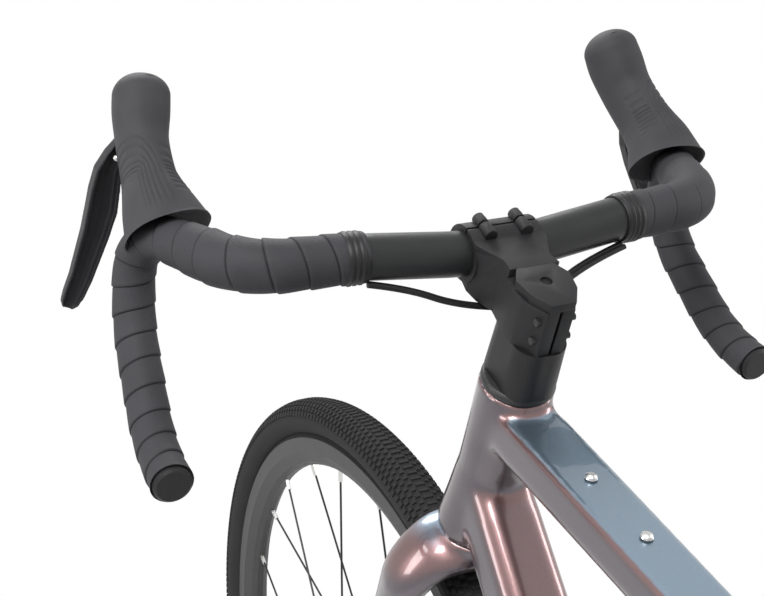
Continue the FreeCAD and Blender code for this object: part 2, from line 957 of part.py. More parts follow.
# Fork
def fork_blades():
    """Crown and both blades in one smooth run from dropout to dropout."""
    fore_shares = (0.97, 0.62, 0.30, 0.14, 0.08, 0.04, 0.0)
    spread_shares = (1.10, 1.06, 1.02, 1.0, 0.86, 0.50, 0.0)
    drop_shares = (0.985, 0.740, 0.408, 0.180, 0.092, 0.045, 0.038)
    depth_shares = (0.48, 0.64, 0.86, 1.0, 1.14, 1.28, 1.34)
    width_shares = (0.60, 0.74, 0.90, 1.0, 1.10, 1.10, 1.06)
    points = []
    sizes = []
    for index in range(len(fore_shares)):
        points.append(crown_point + steer_fore * (fork_offset * fore_shares[index])
                      + left_way * (blade_spread * spread_shares[index])
                      - steer_up * (crown_rise * drop_shares[index]))
        sizes.append((blade_half_depth * depth_shares[index], blade_half_width * width_shares[index]))
    other_points = [V(spot.x, -spot.y, spot.z) for spot in reversed(points[:-1])]
    sizes = sizes + list(reversed(sizes[:-1]))
    return facet_loft(points + other_points, steer_fore, left_way, sizes, blade_sides)


def fork():
    seat = crown_point - steer_up * face_gap
    crown = turned([(0, -crown_depth * 0.62), (crown_half_length * 0.8, -crown_depth * 0.6),
                    (crown_half_length, -crown_depth * 0.12), (crown_half_length, 0),
                    (0, 0)], seat, steer_up)
    top = steerer_top_height() + head_tube_length
    steerer = turned([(0, -crown_depth * 0.3), (steerer_foot_radius, -crown_depth * 0.3),
                      (steerer_foot_radius, steerer_taper_start), (steerer_radius, steerer_taper_end),
                      (steerer_radius, top), (steerer_radius - steerer_wall, top),
                      (steerer_radius - steerer_wall, steerer_taper_end),
                      (steerer_foot_radius - 2 * steerer_wall, steerer_taper_start),
                      (0, steerer_taper_start)],
                     crown_point, steer_up)
    body = joined([fork_blades(), crown, steerer])
    outer = front_spacing / 2 + front_dropout_thickness
    inner = front_spacing / 2
    for side in (1, -1):
        tip = rod(front_axle_point + left_way * (side * inner), front_axle_point + left_way * (side * outer),
                  front_dropout_radius)
        body = body.fuse(tip)
    room = rod(front_axle_point - left_way * inner, front_axle_point + left_way * inner, rotor_radius * 0.5)
    bore = rod(front_axle_point - left_way * (outer + overrun),
               front_axle_point + left_way * (outer + overrun),
               axle_radius + running_gap)
    body = body.cut(room).cut(bore)
    head_room = axle_head_radius + face_gap
    for side in (1, -1):
        face = front_axle_point + left_way * (side * outer)
        body = body.cut(rod(face, face + left_way * (side * front_dropout_radius), head_room))
    return body


def steerer_top_height():
    return cover_height + sum(spacer_heights) + stem_clamp_height - face_gap * 5


def headset_cover():
    base = steering(0, 0, face_gap)
    height = cover_height - face_gap
    return turned([(steerer_radius + running_gap, 0), (cover_radius, 0), (cover_radius, height * 0.6),
                   (cover_radius * 0.94, height), (steerer_radius + running_gap, height)], base, steer_up)


def spacer_section(height, share):
    """Long round-ended section that grows a little towards the foot of the stack."""
    wide = spacer_half_width * share
    long = spacer_half_length * share
    return panel(steering(0, 0, height), left_way, steer_fore, wide * 2, long * 2, wide * 0.82, wide * 0.82)


def stem_spacers():
    level = cover_height
    total = sum(spacer_heights)
    growth = 0.05
    core = rod(steering(0, 0, 0), steering(0, 0, steerer_top_height() + overrun),
               steerer_radius + running_gap)
    pieces = []
    for height in spacer_heights:
        low_share = 1 + growth * (1 - (level - cover_height) / total)
        high_share = 1 + growth * (1 - (level + height - cover_height) / total)
        body = straight_loft([spacer_section(level, low_share), spacer_section(level + height, high_share)])
        pieces.append(body.cut(core))
        level = level + height
    return pieces


# Stem
def stem_base():
    return cover_height + sum(spacer_heights)


def stem_side(corners, half_width):
    """Piece of the stem drawn in side view and given a width."""
    points = [steering(fore, -half_width, rise) for fore, rise in corners]
    return plate(points, left_way * (2 * half_width))


def stem_top(corners, low, high):
    """Piece of the stem drawn in top view between two levels."""
    points = [steering(fore, left, low) for fore, left in corners]
    return plate(points, steer_up * (high - low))


def stem_body():
    base = stem_base()
    shoulder = base + stem_clamp_height
    top = shoulder + stem_cap_height
    clamp_front = stem_reach + bar_clamp_radius * 0.2
    bar_top = bar_height + bar_clamp_radius * 0.82
    bar_low = bar_height - bar_clamp_radius * 0.9
    side = stem_side([(-stem_rear, base), (stem_rear * 0.9, base),
                      (stem_reach * 0.62, base - stem_chin_drop * 0.1),
                      (clamp_front - bar_clamp_radius * 0.5, bar_low), (clamp_front, bar_low),
                      (clamp_front, bar_top), (stem_cap_front, top), (stem_cap_front, shoulder),
                      (-stem_rear, shoulder)], bar_clamp_half_width)
    rear_corner = stem_half_width * 0.5
    plan_half = [(clamp_front, bar_clamp_half_width), (stem_reach - bar_clamp_radius * 0.75,
                                                       bar_clamp_half_width),
                 (stem_reach * 0.42, stem_waist_half_width), (stem_cap_front * 0.4, stem_half_width),
                 (-stem_rear * 0.3, stem_half_width), (-stem_rear, rear_corner)]
    plan = plan_half + [(fore, -left) for fore, left in reversed(plan_half)]
    return side.common(stem_top(plan, base - stem_chin_drop * 2, top + overrun))


def bar_clamp_ring():
    half = left_way * bar_clamp_half_width
    return rod(bar_center - half, bar_center + half, bar_clamp_radius)


def bar_hole():
    half = left_way * (bar_clamp_half_width + overrun)
    return rod(bar_center - half, bar_center + half, bar_radius + running_gap)


def front_half_space(gap, ahead):
    """Block in front of or behind the split plane of the bar clamp."""
    size = bar_clamp_radius * 4
    start = stem_reach + gap if ahead else stem_reach - size - gap
    corners = [(start, bar_height - size), (start + size, bar_height - size),
               (start + size, bar_height + size), (start, bar_height + size)]
    return stem_side(corners, bar_clamp_half_width + overrun)


def faceplate_bolt_points():
    points = []
    for side in (1, -1):
        for level in (1, -1):
            points.append((side * faceplate_bolt_spread, bar_height + level * faceplate_bolt_rise))
    return points


def faceplate_lug(start_fore, end_fore):
    lugs = []
    for left, rise in faceplate_bolt_points():
        lugs.append(rod(steering(start_fore, left, rise), steering(end_fore, left, rise),
                        faceplate_lug_radius))
    return lugs


def faceplate_holes():
    holes = []
    for left, rise in faceplate_bolt_points():
        start = steering(stem_reach - faceplate_lug_length * 0.8, left, rise)
        end = steering(stem_reach + faceplate_lug_length * 2, left, rise)
        holes.append(rod(start, end, clamp_bolt_radius + running_gap))
    return holes


def stem():
    body = joined([stem_body(), bar_clamp_ring()] + faceplate_lug(stem_reach - faceplate_lug_length,
                                                                  stem_reach))
    body = body.cut(front_half_space(0, True)).cut(bar_hole())
    for hole in faceplate_holes():
        body = body.cut(hole)
    core = rod(steering(0, 0, 0), steering(0, 0, steerer_top_height() + overrun),
               steerer_radius + running_gap)
    body = body.cut(core)
    base = stem_base()
    slot = stem_side([(-stem_rear - overrun, base - overrun), (0, base - overrun),
                      (0, base + stem_clamp_height + overrun),
                      (-stem_rear - overrun, base + stem_clamp_height + overrun)],
                     stem_slot_width / 2)
    body = body.cut(slot)
    for place in clamp_bolt_places:
        body = body.cut(clamp_bolt_hole(base + place))
    guide_top = base + guide_drop_height
    guide = stem_side([(guide_reach - guide_half_length, guide_top - guide_height),
                       (guide_reach + guide_half_length, guide_top - guide_height),
                       (guide_reach + guide_half_length, guide_top),
                       (guide_reach - guide_half_length, guide_top)],
                      guide_half_width)
    return joined([body, guide])


def clamp_bolt_hole(rise):
    back = steerer_radius + clamp_bolt_radius * 2
    start = steering(-back, -stem_half_width - overrun, rise)
    return rod(start, steering(-back, stem_half_width + overrun, rise), clamp_bolt_radius + running_gap)


def stem_faceplate():
    body = joined([bar_clamp_ring()] + faceplate_lug(stem_reach, stem_reach + faceplate_lug_length * 0.6))
    keep = front_half_space(faceplate_gap, True)
    body = body.common(keep).cut(bar_hole())
    for hole in faceplate_holes():
        body = body.cut(hole)
    seat = stem_reach + faceplate_lug_length * 0.6
    for left, rise in faceplate_bolt_points():
        body = body.cut(rod(steering(seat, left, rise), steering(seat + bar_clamp_radius, left, rise),
                            clamp_bolt_radius * 1.7 + running_gap))
    return body


def stem_bolts():
    bolts = []
    seat_fore_place = stem_reach + faceplate_lug_length * 0.6
    for left, rise in faceplate_bolt_points():
        start = steering(stem_reach - faceplate_lug_length * 0.7, left, rise)
        seat = steering(seat_fore_place, left, rise)
        end = steering(seat_fore_place + clamp_bolt_radius * 1.4, left, rise)
        bolts.append(rod(start, seat, clamp_bolt_radius).fuse(rod(seat, end,
                                                                  clamp_bolt_radius * 1.7)).removeSplitter())
    for place in clamp_bolt_places:
        back = steerer_radius + clamp_bolt_radius * 2
        inset = stem_half_width * 0.72
        rise = stem_base() + place
        bolts.append(rod(steering(-back, -inset, rise), steering(-back, inset, rise), clamp_bolt_radius))
    return bolts


def stem_cap():
    """Shield-shaped cover plate over the steerer, with its bolt."""
    low = stem_base() + stem_clamp_height
    high = low + stem_cap_height
    front = stem_cap_front - running_gap
    half = [(front, stem_half_width * 0.70), (front * 0.3, stem_half_width),
            (-stem_rear * 0.45, stem_half_width * 0.86),
            (-stem_rear, stem_half_width * 0.46)]
    plan = half + [(fore, -left) for fore, left in reversed(half)]
    body = stem_top(plan, low, high)
    well = rod(steering(0, 0, high - stem_cap_height * 0.5), steering(0, 0, high + overrun), cap_bolt_radius)
    bolt = rod(steering(0, 0, low), steering(0, 0, high - stem_cap_height * 0.2), cap_bolt_radius * 0.9)
    return body.cut(well).fuse(bolt).removeSplitter()


# Handlebar
bar_corner_reach_shares = (0.118, 1.0, 1.0, 0.354, -0.01)
bar_corner_width_shares = (0.751, 0.928, 0.954, 0.994, 1.0)
bar_corner_rise_shares = (0.046, 0.073, -0.442, -0.951, -1.0)
bar_bend_shares = (0.44, 0.30, 0.62, 0.88)
bar_taper_shares = (0.20, 0.62)
bar_ramp_shares = (0.32, 0.64)


def bar_corners():
    """Corners of the left half's centre line, from the first bend of the top to the end of the drop."""
    corners = []
    for reach, wide, rise in zip(bar_corner_reach_shares, bar_corner_width_shares, bar_corner_rise_shares):
        corners.append(from_bar(bar_reach * reach, bar_end_half_width * wide, bar_drop * rise))
    return corners


def bar_tape_edge():
    return from_bar(bar_tape_sweep, bar_tape_start, bar_tape_rise)


def between(start, end, share):
    return start + (end - start) * share


def bar_taper_points():
    """Ends of the two tapers: one on the top, one on the ramp."""
    corners = bar_corners()
    edge = bar_tape_edge()
    return ([between(edge, corners[0], share) for share in bar_taper_shares],
            [between(corners[0], corners[1], share) for share in bar_ramp_shares])


def cone(start, end, start_radius, end_radius):
    way = end - start
    return Part.makeCone(start_radius, end_radius, way.Length, start, way)


def bar_outer_half(start, radii, spare):
    """Left half beyond a start point: taper, corner, taper, hook and drop."""
    corners = bar_corners()
    bends = [bar_reach * share for share in bar_bend_shares]
    top_taper, ramp_taper = bar_taper_points()
    first_radius, middle_radius, last_radius = radii
    end = corners[-1] + unit(corners[-1] - corners[-2]) * spare
    return [cone(start, top_taper[1], first_radius, middle_radius),
            wire_rod([top_taper[1], corners[0], ramp_taper[0]], bends[:1], middle_radius),
            cone(ramp_taper[0], ramp_taper[1], middle_radius, last_radius),
            wire_rod([ramp_taper[1], corners[1], corners[2], corners[3], end], bends[1:], last_radius)]


def bar_middle(radius):
    """Clamped part and the two straight tops."""
    start = bar_taper_points()[0][0]
    left_spots = [start, bar_tape_edge(), from_bar(0, bar_flat_half, 0)]
    right_spots = [V(spot.x, -spot.y, spot.z) for spot in reversed(left_spots)]
    return wire_rod(left_spots + right_spots, [bar_flat_bend] * 4, radius)


def bar_half(grow):
    """Left half beyond the straight top, grown by a thickness, in one piece."""
    start = bar_taper_points()[0][0]
    radii = (bar_radius + grow, bar_ramp_radius + grow, bar_end_radius + grow)
    return joined(bar_outer_half(start, radii, 0))


def handlebar():
    """Bar with its ends bored for the plugs."""
    end = bar_corners()[-1]
    way = unit(end - bar_corners()[-2])
    bore = rod(end - way * (plug_depth + overrun), end + way * overrun, bar_end_radius - bar_wall)
    half = bar_half(0).cut(bore)
    return joined([bar_middle(bar_radius), half, mirrored(half)])


def bar_tape():
    radii = (bar_radius + tape_edge_thickness, bar_ramp_radius + tape_corner_thickness,
             bar_end_radius + tape_thickness)
    body = joined(bar_outer_half(bar_tape_edge(), radii, 0))
    body = body.cut(bar_half(running_gap * 2)).cut(bar_middle(bar_radius + running_gap * 2))
    body = body.cut(hood_outer(0))
    return both_sides(body)


def bar_end_plugs():
    corners = bar_corners()
    end = corners[-1]
    way = unit(end - corners[-2])
    inner = bar_end_radius - bar_wall - running_gap * 2
    plug = turned([(0, -plug_depth), (inner, -plug_depth), (inner, running_gap), (plug_radius, running_gap),
                   (plug_radius, plug_lip * 0.6), (plug_radius * 0.86, plug_lip), (0, plug_lip)], end, way)
    return both_sides(plug)


# Hoods and brackets
hood_reach_shares = (0.470, 0.600, 0.735, 0.852, 0.932, 0.983, 0.997)
hood_rise_shares = (-0.02, 0.205, 0.385, 0.560, 0.792, 0.940, 1.0)
hood_width_shares = (1.068, 1.068, 1.063, 1.047, 1.026, 1.010, 1.005)
hood_deep_shares = (1.95, 1.45, 1.26, 1.25, 1.26, 1.0, 0.37)
hood_wide_shares = (1.26, 1.05, 0.96, 0.97, 1.0, 0.82, 0.32)


def hood_outer(shrink):
    points = []
    sizes = []
    for index in range(len(hood_reach_shares)):
        points.append(from_bar(hood_reach * hood_reach_shares[index],
                               hood_half_width * hood_width_shares[index],
                               hood_rise * hood_rise_shares[index]))
        sizes.append((hood_radius * hood_wide_shares[index] - shrink,
                      hood_radius * hood_deep_shares[index] - shrink))
    first = 1 if shrink else 0
    last = len(points) - 1 if shrink else len(points)
    return tube_loft(points[first:last], left_way, sky_way, sizes[first:last])


def lever_pivot():
    return from_bar(lever_pivot_reach, lever_pivot_half_width, lever_pivot_rise)


def lever_slot():
    """Room in the nose of the bracket for the lever root to swing."""
    thick = lever_root_thickness + 2 * lever_slot_gap
    spot = lever_pivot() - left_way * (thick / 2)
    swing = lever_root_radius + lever_slot_gap * 2
    drum = rod_along(spot, left_way, thick, swing)
    ahead = front_way * (hood_radius * 2)
    down = sky_way * -(hood_radius * 2)
    back = front_way * -swing
    room = plate([spot + sky_way * swing, spot + sky_way * swing + ahead, spot + down + ahead,
                  spot + down + back, spot + back], left_way * thick)
    side = lever_pivot() + left_way * (lever_notch_shift - lever_notch_half)
    low = side - sky_way * swing
    fore = side + front_way * (swing / 2)
    notch = plate([low, fore, side + ahead, side + down + ahead, side + down],
                  left_way * (2 * lever_notch_half))
    return drum.fuse(room).fuse(notch)


def hood():
    body = hood_outer(0).cut(hood_outer(hood_skin)).cut(lever_slot())
    return body.cut(bar_half(running_gap * 2))


def lever_bracket():
    body = hood_outer(hood_skin).cut(lever_slot()).cut(bar_half(running_gap * 2))
    half = lever_root_thickness / 2 + lever_slot_gap + lever_pin_radius
    pin = rod(lever_pivot() - left_way * half, lever_pivot() + left_way * half, lever_pin_radius)
    return body.fuse(pin)


def hoods():
    return both_sides(hood())


def lever_brackets():
    return both_sides(lever_bracket())


def lever_points():
    start = lever_pivot() + V(lever_root_radius * 1.2, 0, 0)
    throw_shares = (0.0, 0.7, 1.0, 1.0, 0.8)
    drop_shares = (0.0, 0.15, 0.32, 0.62, 1.0)
    flare_shares = (0.0, 0.14, 0.36, 0.66, 1.0)
    points = []
    for throw, drop, flare in zip(throw_shares, drop_shares, flare_shares):
        points.append(start + V(lever_throw * throw, lever_flare * flare, -lever_drop * drop))
    return points


def brake_lever():
    wide_shares = (0.28, 0.50, 1.0, 0.88, 0.54)
    deep_shares = (0.60, 0.80, 0.90, 0.72, 0.50)
    sizes = []
    for wide, deep in zip(wide_shares, deep_shares):
        sizes.append((lever_half_width * wide, lever_half_depth * deep))
    blade = facet_loft(lever_points(), left_way, front_way, sizes, lever_sides)
    spot = lever_pivot() - left_way * (lever_root_thickness / 2)
    root = rod_along(spot, left_way, lever_root_thickness, lever_root_radius)
    neck = rod(lever_pivot(), lever_points()[0], lever_root_thickness * 0.44)
    body = joined([root, neck, blade])
    return body.cut(rod_along(spot - left_way * overrun, left_way, lever_root_thickness + 2 * overrun,
                              lever_pin_radius + running_gap))


def paddle_pin():
    return lever_points()[2] - front_way * paddle_offset


def brake_lever_right():
    """Right lever with the pin that carries the gear paddle."""
    pin = rod(lever_points()[2], paddle_pin() - front_way * (paddle_thickness * 1.4), paddle_pin_radius)
    return mirrored(brake_lever().fuse(pin))


def shift_paddle():
    """Gear paddle behind the right lever."""
    hinge = paddle_pin()
    way = unit(lever_points()[4] - lever_points()[2])
    end = hinge + way * paddle_length
    thick = unit(way.cross(unit(front_way.cross(way)))) * paddle_thickness
    blade = bar_round(hinge - thick, end - thick, paddle_width / 2, paddle_width * 0.62, thick)
    bore = rod(hinge - front_way * (paddle_thickness * 4), hinge + front_way * (paddle_thickness * 4),
               paddle_pin_radius + running_gap)
    return mirrored(blade.cut(bore))


# Hoses
def hose_route(side, back_shift):
    """From the edge of the tape, below the bar and to the guide under the stem."""
    back_shares = (-0.31, -0.44, -0.78, -1.0)
    left_shares = (1.0, 0.68, 0.28, 0.0)
    drop_shares = (-0.275, -0.46, -0.90, -1.0)
    points = []
    for back, left, drop in zip(back_shares, left_shares, drop_shares):
        span = (bar_tape_start - running_gap - guide_half_width - running_gap) * left
        points.append(from_bar(hose_back * back - back_shift, side * (guide_half_width + running_gap + span),
                               hose_sag * drop))
    return points


def brake_hoses():
    lines = []
    for side in (1, -1):
        points = hose_route(side, 0)
        lines.append(wire_rod(points, path_radii(points), hose_radius))
    points = hose_route(-1, hose_radius + cable_radius + face_gap)
    lines.append(wire_rod(points, path_radii(points), cable_radius))
    return lines


# Wheels
def rim(center):
    inner = rim_radius - rim_depth
    bed = rim_radius - rim_bed_drop
    bead = rim_radius - bead_depth - face_gap
    half = [(rim_radius, rim_half_width), (rim_radius - rim_depth * 0.5, rim_half_width),
            (inner + rim_depth * 0.14, rim_half_width * 0.62), (inner, rim_half_width * 0.24)]
    inside = [(rim_radius, rim_half_width - rim_wall), (bead, rim_half_width - rim_wall),
              (bed, rim_half_width * 0.45)]
    outline = half + [(radius, -side) for radius, side in reversed(half)]
    outline = outline + [(radius, -side) for radius, side in inside]
    outline = outline + list(reversed(inside))
    return turned(outline, center, left_way)


def tyre_line(shrink):
    """Casing from one bead to the other, thinned by a shrink."""
    height = wheel_radius - rim_radius
    rise_shares = (0.10, 0.26, 0.46, 0.66, 0.82, 0.93, 0.985)
    side_shares = (0.70, 0.92, 1.0, 0.97, 0.82, 0.56, 0.22)
    half = []
    for rise, side in zip(rise_shares, side_shares):
        half.append(V(rim_radius + height * rise - shrink * rise, 0,
                      tyre_half_width * side - shrink * math.sqrt(side)))
    return half + [V(spot.x, 0, -spot.z) for spot in reversed(half)]


def tyre(center):
    """Hollow casing whose beads sit inside the rim's hooks."""
    hook = rim_half_width - rim_wall - face_gap
    low = rim_radius - bead_depth
    lip = rim_radius + face_gap
    outside = [V(low, 0, hook), V(lip, 0, hook)] + tyre_line(0) + [V(lip, 0, -hook), V(low, 0, -hook)]
    deep = hook - tyre_wall
    inside = [V(low, 0, deep), V(lip, 0, deep)] + tyre_line(tyre_wall) + [V(lip, 0, -deep), V(low, 0, -deep)]
    corners = outside + list(reversed(inside))
    face = Part.Face(Part.makePolygon(corners + [corners[0]]))
    return placed(face.revolve(V(0, 0, 0), sky_way, full_turn), center, left_way)


def around(center, radius, turn_degrees, offset):
    """A point around a wheel axis."""
    turn = math.radians(turn_degrees)
    return center + V(radius * math.cos(turn), offset, radius * math.sin(turn))


def spokes(center, flange_radius, flange_left, flange_right):
    """Laced spokes with their nipples, drawn as slim prisms."""
    pieces = []
    step = full_turn / spokes_per_wheel
    rim_inner = rim_radius - rim_depth
    hole_radius = flange_radius - flange_hole_inset
    lift = flange_thickness / 2 + spoke_radius + running_gap
    for index in range(spokes_per_wheel):
        rim_turn = step * index
        side = 1 if index % 2 else -1
        offset = flange_left if side > 0 else -flange_right
        pulls_ahead = (index // 2) % 2
        hub_turn = rim_turn + (spoke_cross_turn if pulls_ahead else -spoke_cross_turn)
        stagger = lift if pulls_ahead else -lift
        start = around(center, hole_radius, hub_turn, offset + stagger)
        end = around(center, rim_inner - running_gap, rim_turn, side * spoke_radius)
        way = unit(end - start)
        nipple_start = end - way * nipple_length
        disc = around(center, 0, 0, offset - flange_thickness / 2 - running_gap)
        flange = rod_along(disc, left_way, flange_thickness + 2 * running_gap, flange_radius + running_gap)
        pieces.append(prism(start, nipple_start, spoke_radius).cut(flange))
        pieces.append(prism(nipple_start, end - way * face_gap, nipple_radius))
    return pieces


def prism(start, end, radius):
    """Slim prism with the same width as a round wire."""
    way = unit(end - start)
    side = unit(way.cross(left_way))
    other = way.cross(side)
    corners = []
    for step in range(spoke_sides):
        turn = 2 * math.pi * step / spoke_sides
        corners.append(start + side * (radius * math.cos(turn)) + other * (radius * math.sin(turn)))
    return plate(corners, end - start)


def hub_outline(spacing, flange_radius, flange_left, flange_right, core_end, core_radius):
    """Half profile from the right end cap to the left one, as (radius, place along the axle)."""
    bore = axle_radius + running_gap
    end = spacing / 2 - running_gap
    half = flange_thickness / 2
    outline = [(bore, -end), (hub_end_radius * 0.9, -end), (hub_end_radius * 0.9, -core_end),
               (core_radius, -core_end), (core_radius, -flange_right - half),
               (flange_radius, -flange_right - half),
               (flange_radius, -flange_right + half), (hub_waist_radius, -flange_right + half),
               (hub_waist_radius, flange_left - half), (flange_radius, flange_left - half),
               (flange_radius, flange_left + half), (hub_waist_radius, flange_left + half)]
    return outline, bore, end


def front_hub():
    outline, bore, end = hub_outline(front_spacing, front_flange_radius, front_flange_left,
                                     front_flange_right,
                                     front_flange_right + flange_thickness * 2, hub_waist_radius)
    carrier = front_rotor_offset + rotor_thickness
    outline = outline + [(hub_waist_radius, carrier), (hub_end_radius, carrier), (hub_end_radius, end),
                         (bore, end)]
    return turned(outline, front_axle_point, left_way)


def rear_hub():
    core_end = rear_spacing / 2 - dropout_thickness * 0.5
    outline, bore, end = hub_outline(rear_spacing, rear_flange_radius, rear_flange_left, rear_flange_right,
                                     core_end, hub_end_radius)
    carrier = rear_rotor_offset + rotor_thickness
    outline = outline + [(hub_waist_radius, carrier), (hub_end_radius, carrier), (hub_end_radius, end),
                         (bore, end)]
    return turned(outline, rear_axle_point, left_way)


def rotor(center, offset):
    base = center + left_way * (offset - rotor_thickness / 2)
    inner_radius = rotor_radius - rotor_band
    band = turned(ring_outline(rotor_radius, inner_radius, rotor_thickness), base, left_way)
    carrier = turned(ring_outline(rotor_carrier_radius, hub_waist_radius + running_gap, rotor_thickness),
                     base, left_way)
    pieces = [band, carrier]
    lead_share = 0.5
    for index in range(rotor_arm_count):
        turn = full_turn * index / rotor_arm_count
        start = around(base, rotor_carrier_radius * 0.9, turn, 0)
        end = around(base, inner_radius + rotor_band * 0.2,
                     turn + full_turn / rotor_arm_count * lead_share, 0)
        across = unit((end - start).cross(left_way)) * (rotor_arm_width / 2)
        pieces.append(plate([start + across, end + across, end - across, start - across],
                            left_way * rotor_thickness))
    return joined(pieces)


# Calipers
def caliper_slot_half():
    return rotor_thickness / 2 + pad_gap + pad_thickness + caliper_seat_gap


def pad_radius_middle():
    return rotor_radius - rotor_band / 2


def caliper(center, offset, outward, along_way):
    """Two-sided body over the edge of the rotor, with a slot for it."""
    half = caliper_slot_half() + caliper_wall
    middle = center + outward * pad_radius_middle() + left_way * offset
    low = middle - outward * (pad_height * 0.62)
    high = middle + outward * (rotor_band / 2 + face_gap * 3 + caliper_bridge)
    long = along_way * (caliper_length / 2)
    trim = along_way * (caliper_length * 0.32)
    corners = [low - long, low + long, high + trim, high - trim]
    body = plate([spot - left_way * half for spot in corners], left_way * (2 * half))
    slot_half = caliper_slot_half()
    top = middle + outward * (rotor_band / 2 + face_gap * 3)
    wide = along_way * caliper_length
    slot = plate([low - wide - outward * overrun - left_way * slot_half, low + wide - outward * overrun
                  - left_way * slot_half, top + wide - left_way * slot_half,
                  top - wide - left_way * slot_half],
                 left_way * (2 * slot_half))
    return body.cut(slot)


def brake_pad(center, offset, outward, along_way, side):
    middle = center + outward * pad_radius_middle()
    near = offset + side * (rotor_thickness / 2 + pad_gap)
    long = along_way * (pad_length / 2)
    tall = outward * (pad_height / 2)
    corners = [middle - long - tall, middle + long - tall, middle + long + tall, middle - long + tall]
    return plate([spot + left_way * near for spot in corners], left_way * (side * pad_thickness))


def front_caliper_ways():
    outward = unit(steer_up * 0.80 - steer_fore * 0.60)
    return outward, unit(left_way.cross(outward))


def rear_caliper_ways():
    outward = unit(V(0.93, 0, 0.36))
    return outward, unit(left_way.cross(outward))


def front_caliper():
    outward, along_way = front_caliper_ways()
    body = caliper(front_axle_point, front_rotor_offset, outward, along_way)
    return body.cut(fork_blades())


def rear_caliper():
    outward, along_way = rear_caliper_ways()
    body = caliper(rear_axle_point, rear_rotor_offset, outward, along_way)
    return body.cut(chainstay())


# Drive
def pitch_radius(teeth):
    return teeth * chain_pitch / (2 * math.pi)


def sprocket(center, offset, teeth, thickness, phase):
    """Toothed disc; a tooth gap lies at the phase angle."""
    corners = []
    step = 2 * math.pi / teeth
    radius = pitch_radius(teeth)
    for index in range(teeth):
        gap = phase + step * index
        for turn, reach in ((gap - step * 0.2, radius - tooth_root), (gap + step * 0.2, radius - tooth_root),
                            (gap + step * 0.5, radius + tooth_rise)):
            corners.append(center + V(reach * math.cos(turn), offset - thickness / 2, reach * math.sin(turn)))
    return plate(corners, left_way * thickness)


def cog(center, offset, teeth, thickness, phase):
    """Plainer toothed disc with one corner in each gap."""
    corners = []
    step = 2 * math.pi / teeth
    radius = pitch_radius(teeth)
    for index in range(teeth):
        gap = phase + step * index
        for turn, reach in ((gap, radius - tooth_root), (gap + step * 0.5, radius + tooth_rise)):
            corners.append(center + V(reach * math.cos(turn), offset - thickness / 2, reach * math.sin(turn)))
    return plate(corners, left_way * thickness)


def guide_point():
    return rear_axle_point + V(guide_forward, 0, -guide_drop)


def tension_point(cage_turn):
    return guide_point() + V(math.cos(cage_turn), 0, math.sin(cage_turn)) * cage_length


def chain_circles(cage_turn):
    """Wheels that the chain passes, in order, with the way it turns round each."""
    cog_radius = pitch_radius(cog_teeth[chain_cog])
    jockey_radius = pitch_radius(jockey_teeth)
    return [(shell_point, pitch_radius(chainring_teeth), 1), (rear_axle_point, cog_radius, 1),
            (guide_point(), jockey_radius, -1), (tension_point(cage_turn), jockey_radius, 1)]


def chain_runs(cage_turn):
    """Straight runs between the wheels as (start, end) pairs, in travel order."""
    circles = chain_circles(cage_turn)
    runs = []
    for index in range(len(circles)):
        center, radius, sense = circles[index]
        next_center, next_radius, next_sense = circles[(index + 1) % len(circles)]
        gap = next_center - center
        lean = math.asin((next_sense * next_radius - sense * radius) / gap.Length)
        way_turn = math.atan2(gap.z, gap.x) - lean
        normal = V(-math.sin(way_turn), 0, math.cos(way_turn))
        runs.append((center - normal * (sense * radius), next_center - normal * (next_sense * next_radius)))
    return runs


def chain_spans(cage_turn):
    """Arcs and runs of the whole loop, each with its length."""
    circles = chain_circles(cage_turn)
    runs = chain_runs(cage_turn)
    spans = []
    for index in range(len(circles)):
        center, radius, sense = circles[index]
        enter = runs[index - 1][1] - center
        leave = runs[index][0] - center
        start_turn = math.atan2(enter.z, enter.x)
        sweep = (sense * (math.atan2(leave.z, leave.x) - start_turn)) % (2 * math.pi)
        spans.append(("arc", sweep * radius, (center, radius, sense, start_turn)))
        spans.append(("run", (runs[index][1] - runs[index][0]).Length, runs[index]))
    return spans


def chain_length(cage_turn):
    return sum(span[1] for span in chain_spans(cage_turn))


def solved_cage_turn():
    """Swing of the cage that takes up the slack of a whole number of links."""
    nominal = math.radians(cage_nominal_angle)
    pair = chain_pitch * chain_links_step
    target = round(chain_length(nominal) / pair) * pair
    low = nominal - 0.5
    high = nominal + 0.5
    rising = chain_length(high) > chain_length(low)
    for step in range(60):
        middle = (low + high) / 2
        if (chain_length(middle) < target) == rising:
            low = middle
        else:
            high = middle
    return (low + high) / 2


cage_turn_now = solved_cage_turn()


def chain_place(distance):
    """Point on the loop at a distance along it."""
    for kind, length, data in chain_spans(cage_turn_now):
        if distance <= length:
            if kind == "arc":
                center, radius, sense, start_turn = data
                turn = start_turn + sense * distance / radius
                return center + V(radius * math.cos(turn), 0, radius * math.sin(turn))
            start, end = data
            return start + (end - start) * (distance / length)
        distance = distance - length
    return chain_place(0)


def chain_phase(wheel_index):
    """Angle of one chain pin that lies on a wheel of the chain's route."""
    passed = 0
    for index, (kind, length, data) in enumerate(chain_spans(cage_turn_now)):
        if kind == "arc" and index == 2 * wheel_index:
            center, radius, sense, start_turn = data
            first = math.ceil(passed / chain_pitch) * chain_pitch - passed
            return start_turn + sense * first / radius
        passed = passed + length
    return 0


def chain_plate(start, end, offset):
    way = unit(end - start)
    tall = left_way.cross(way) * chain_plate_half_height
    nose = way * chain_plate_overhang
    inset = way * (chain_plate_overhang * 0.4)
    corners = [start - nose, start - inset + tall, end + inset + tall, end + nose, end + inset - tall,
               start - inset - tall]
    return plate([spot + left_way * offset for spot in corners], left_way * chain_plate_thickness)


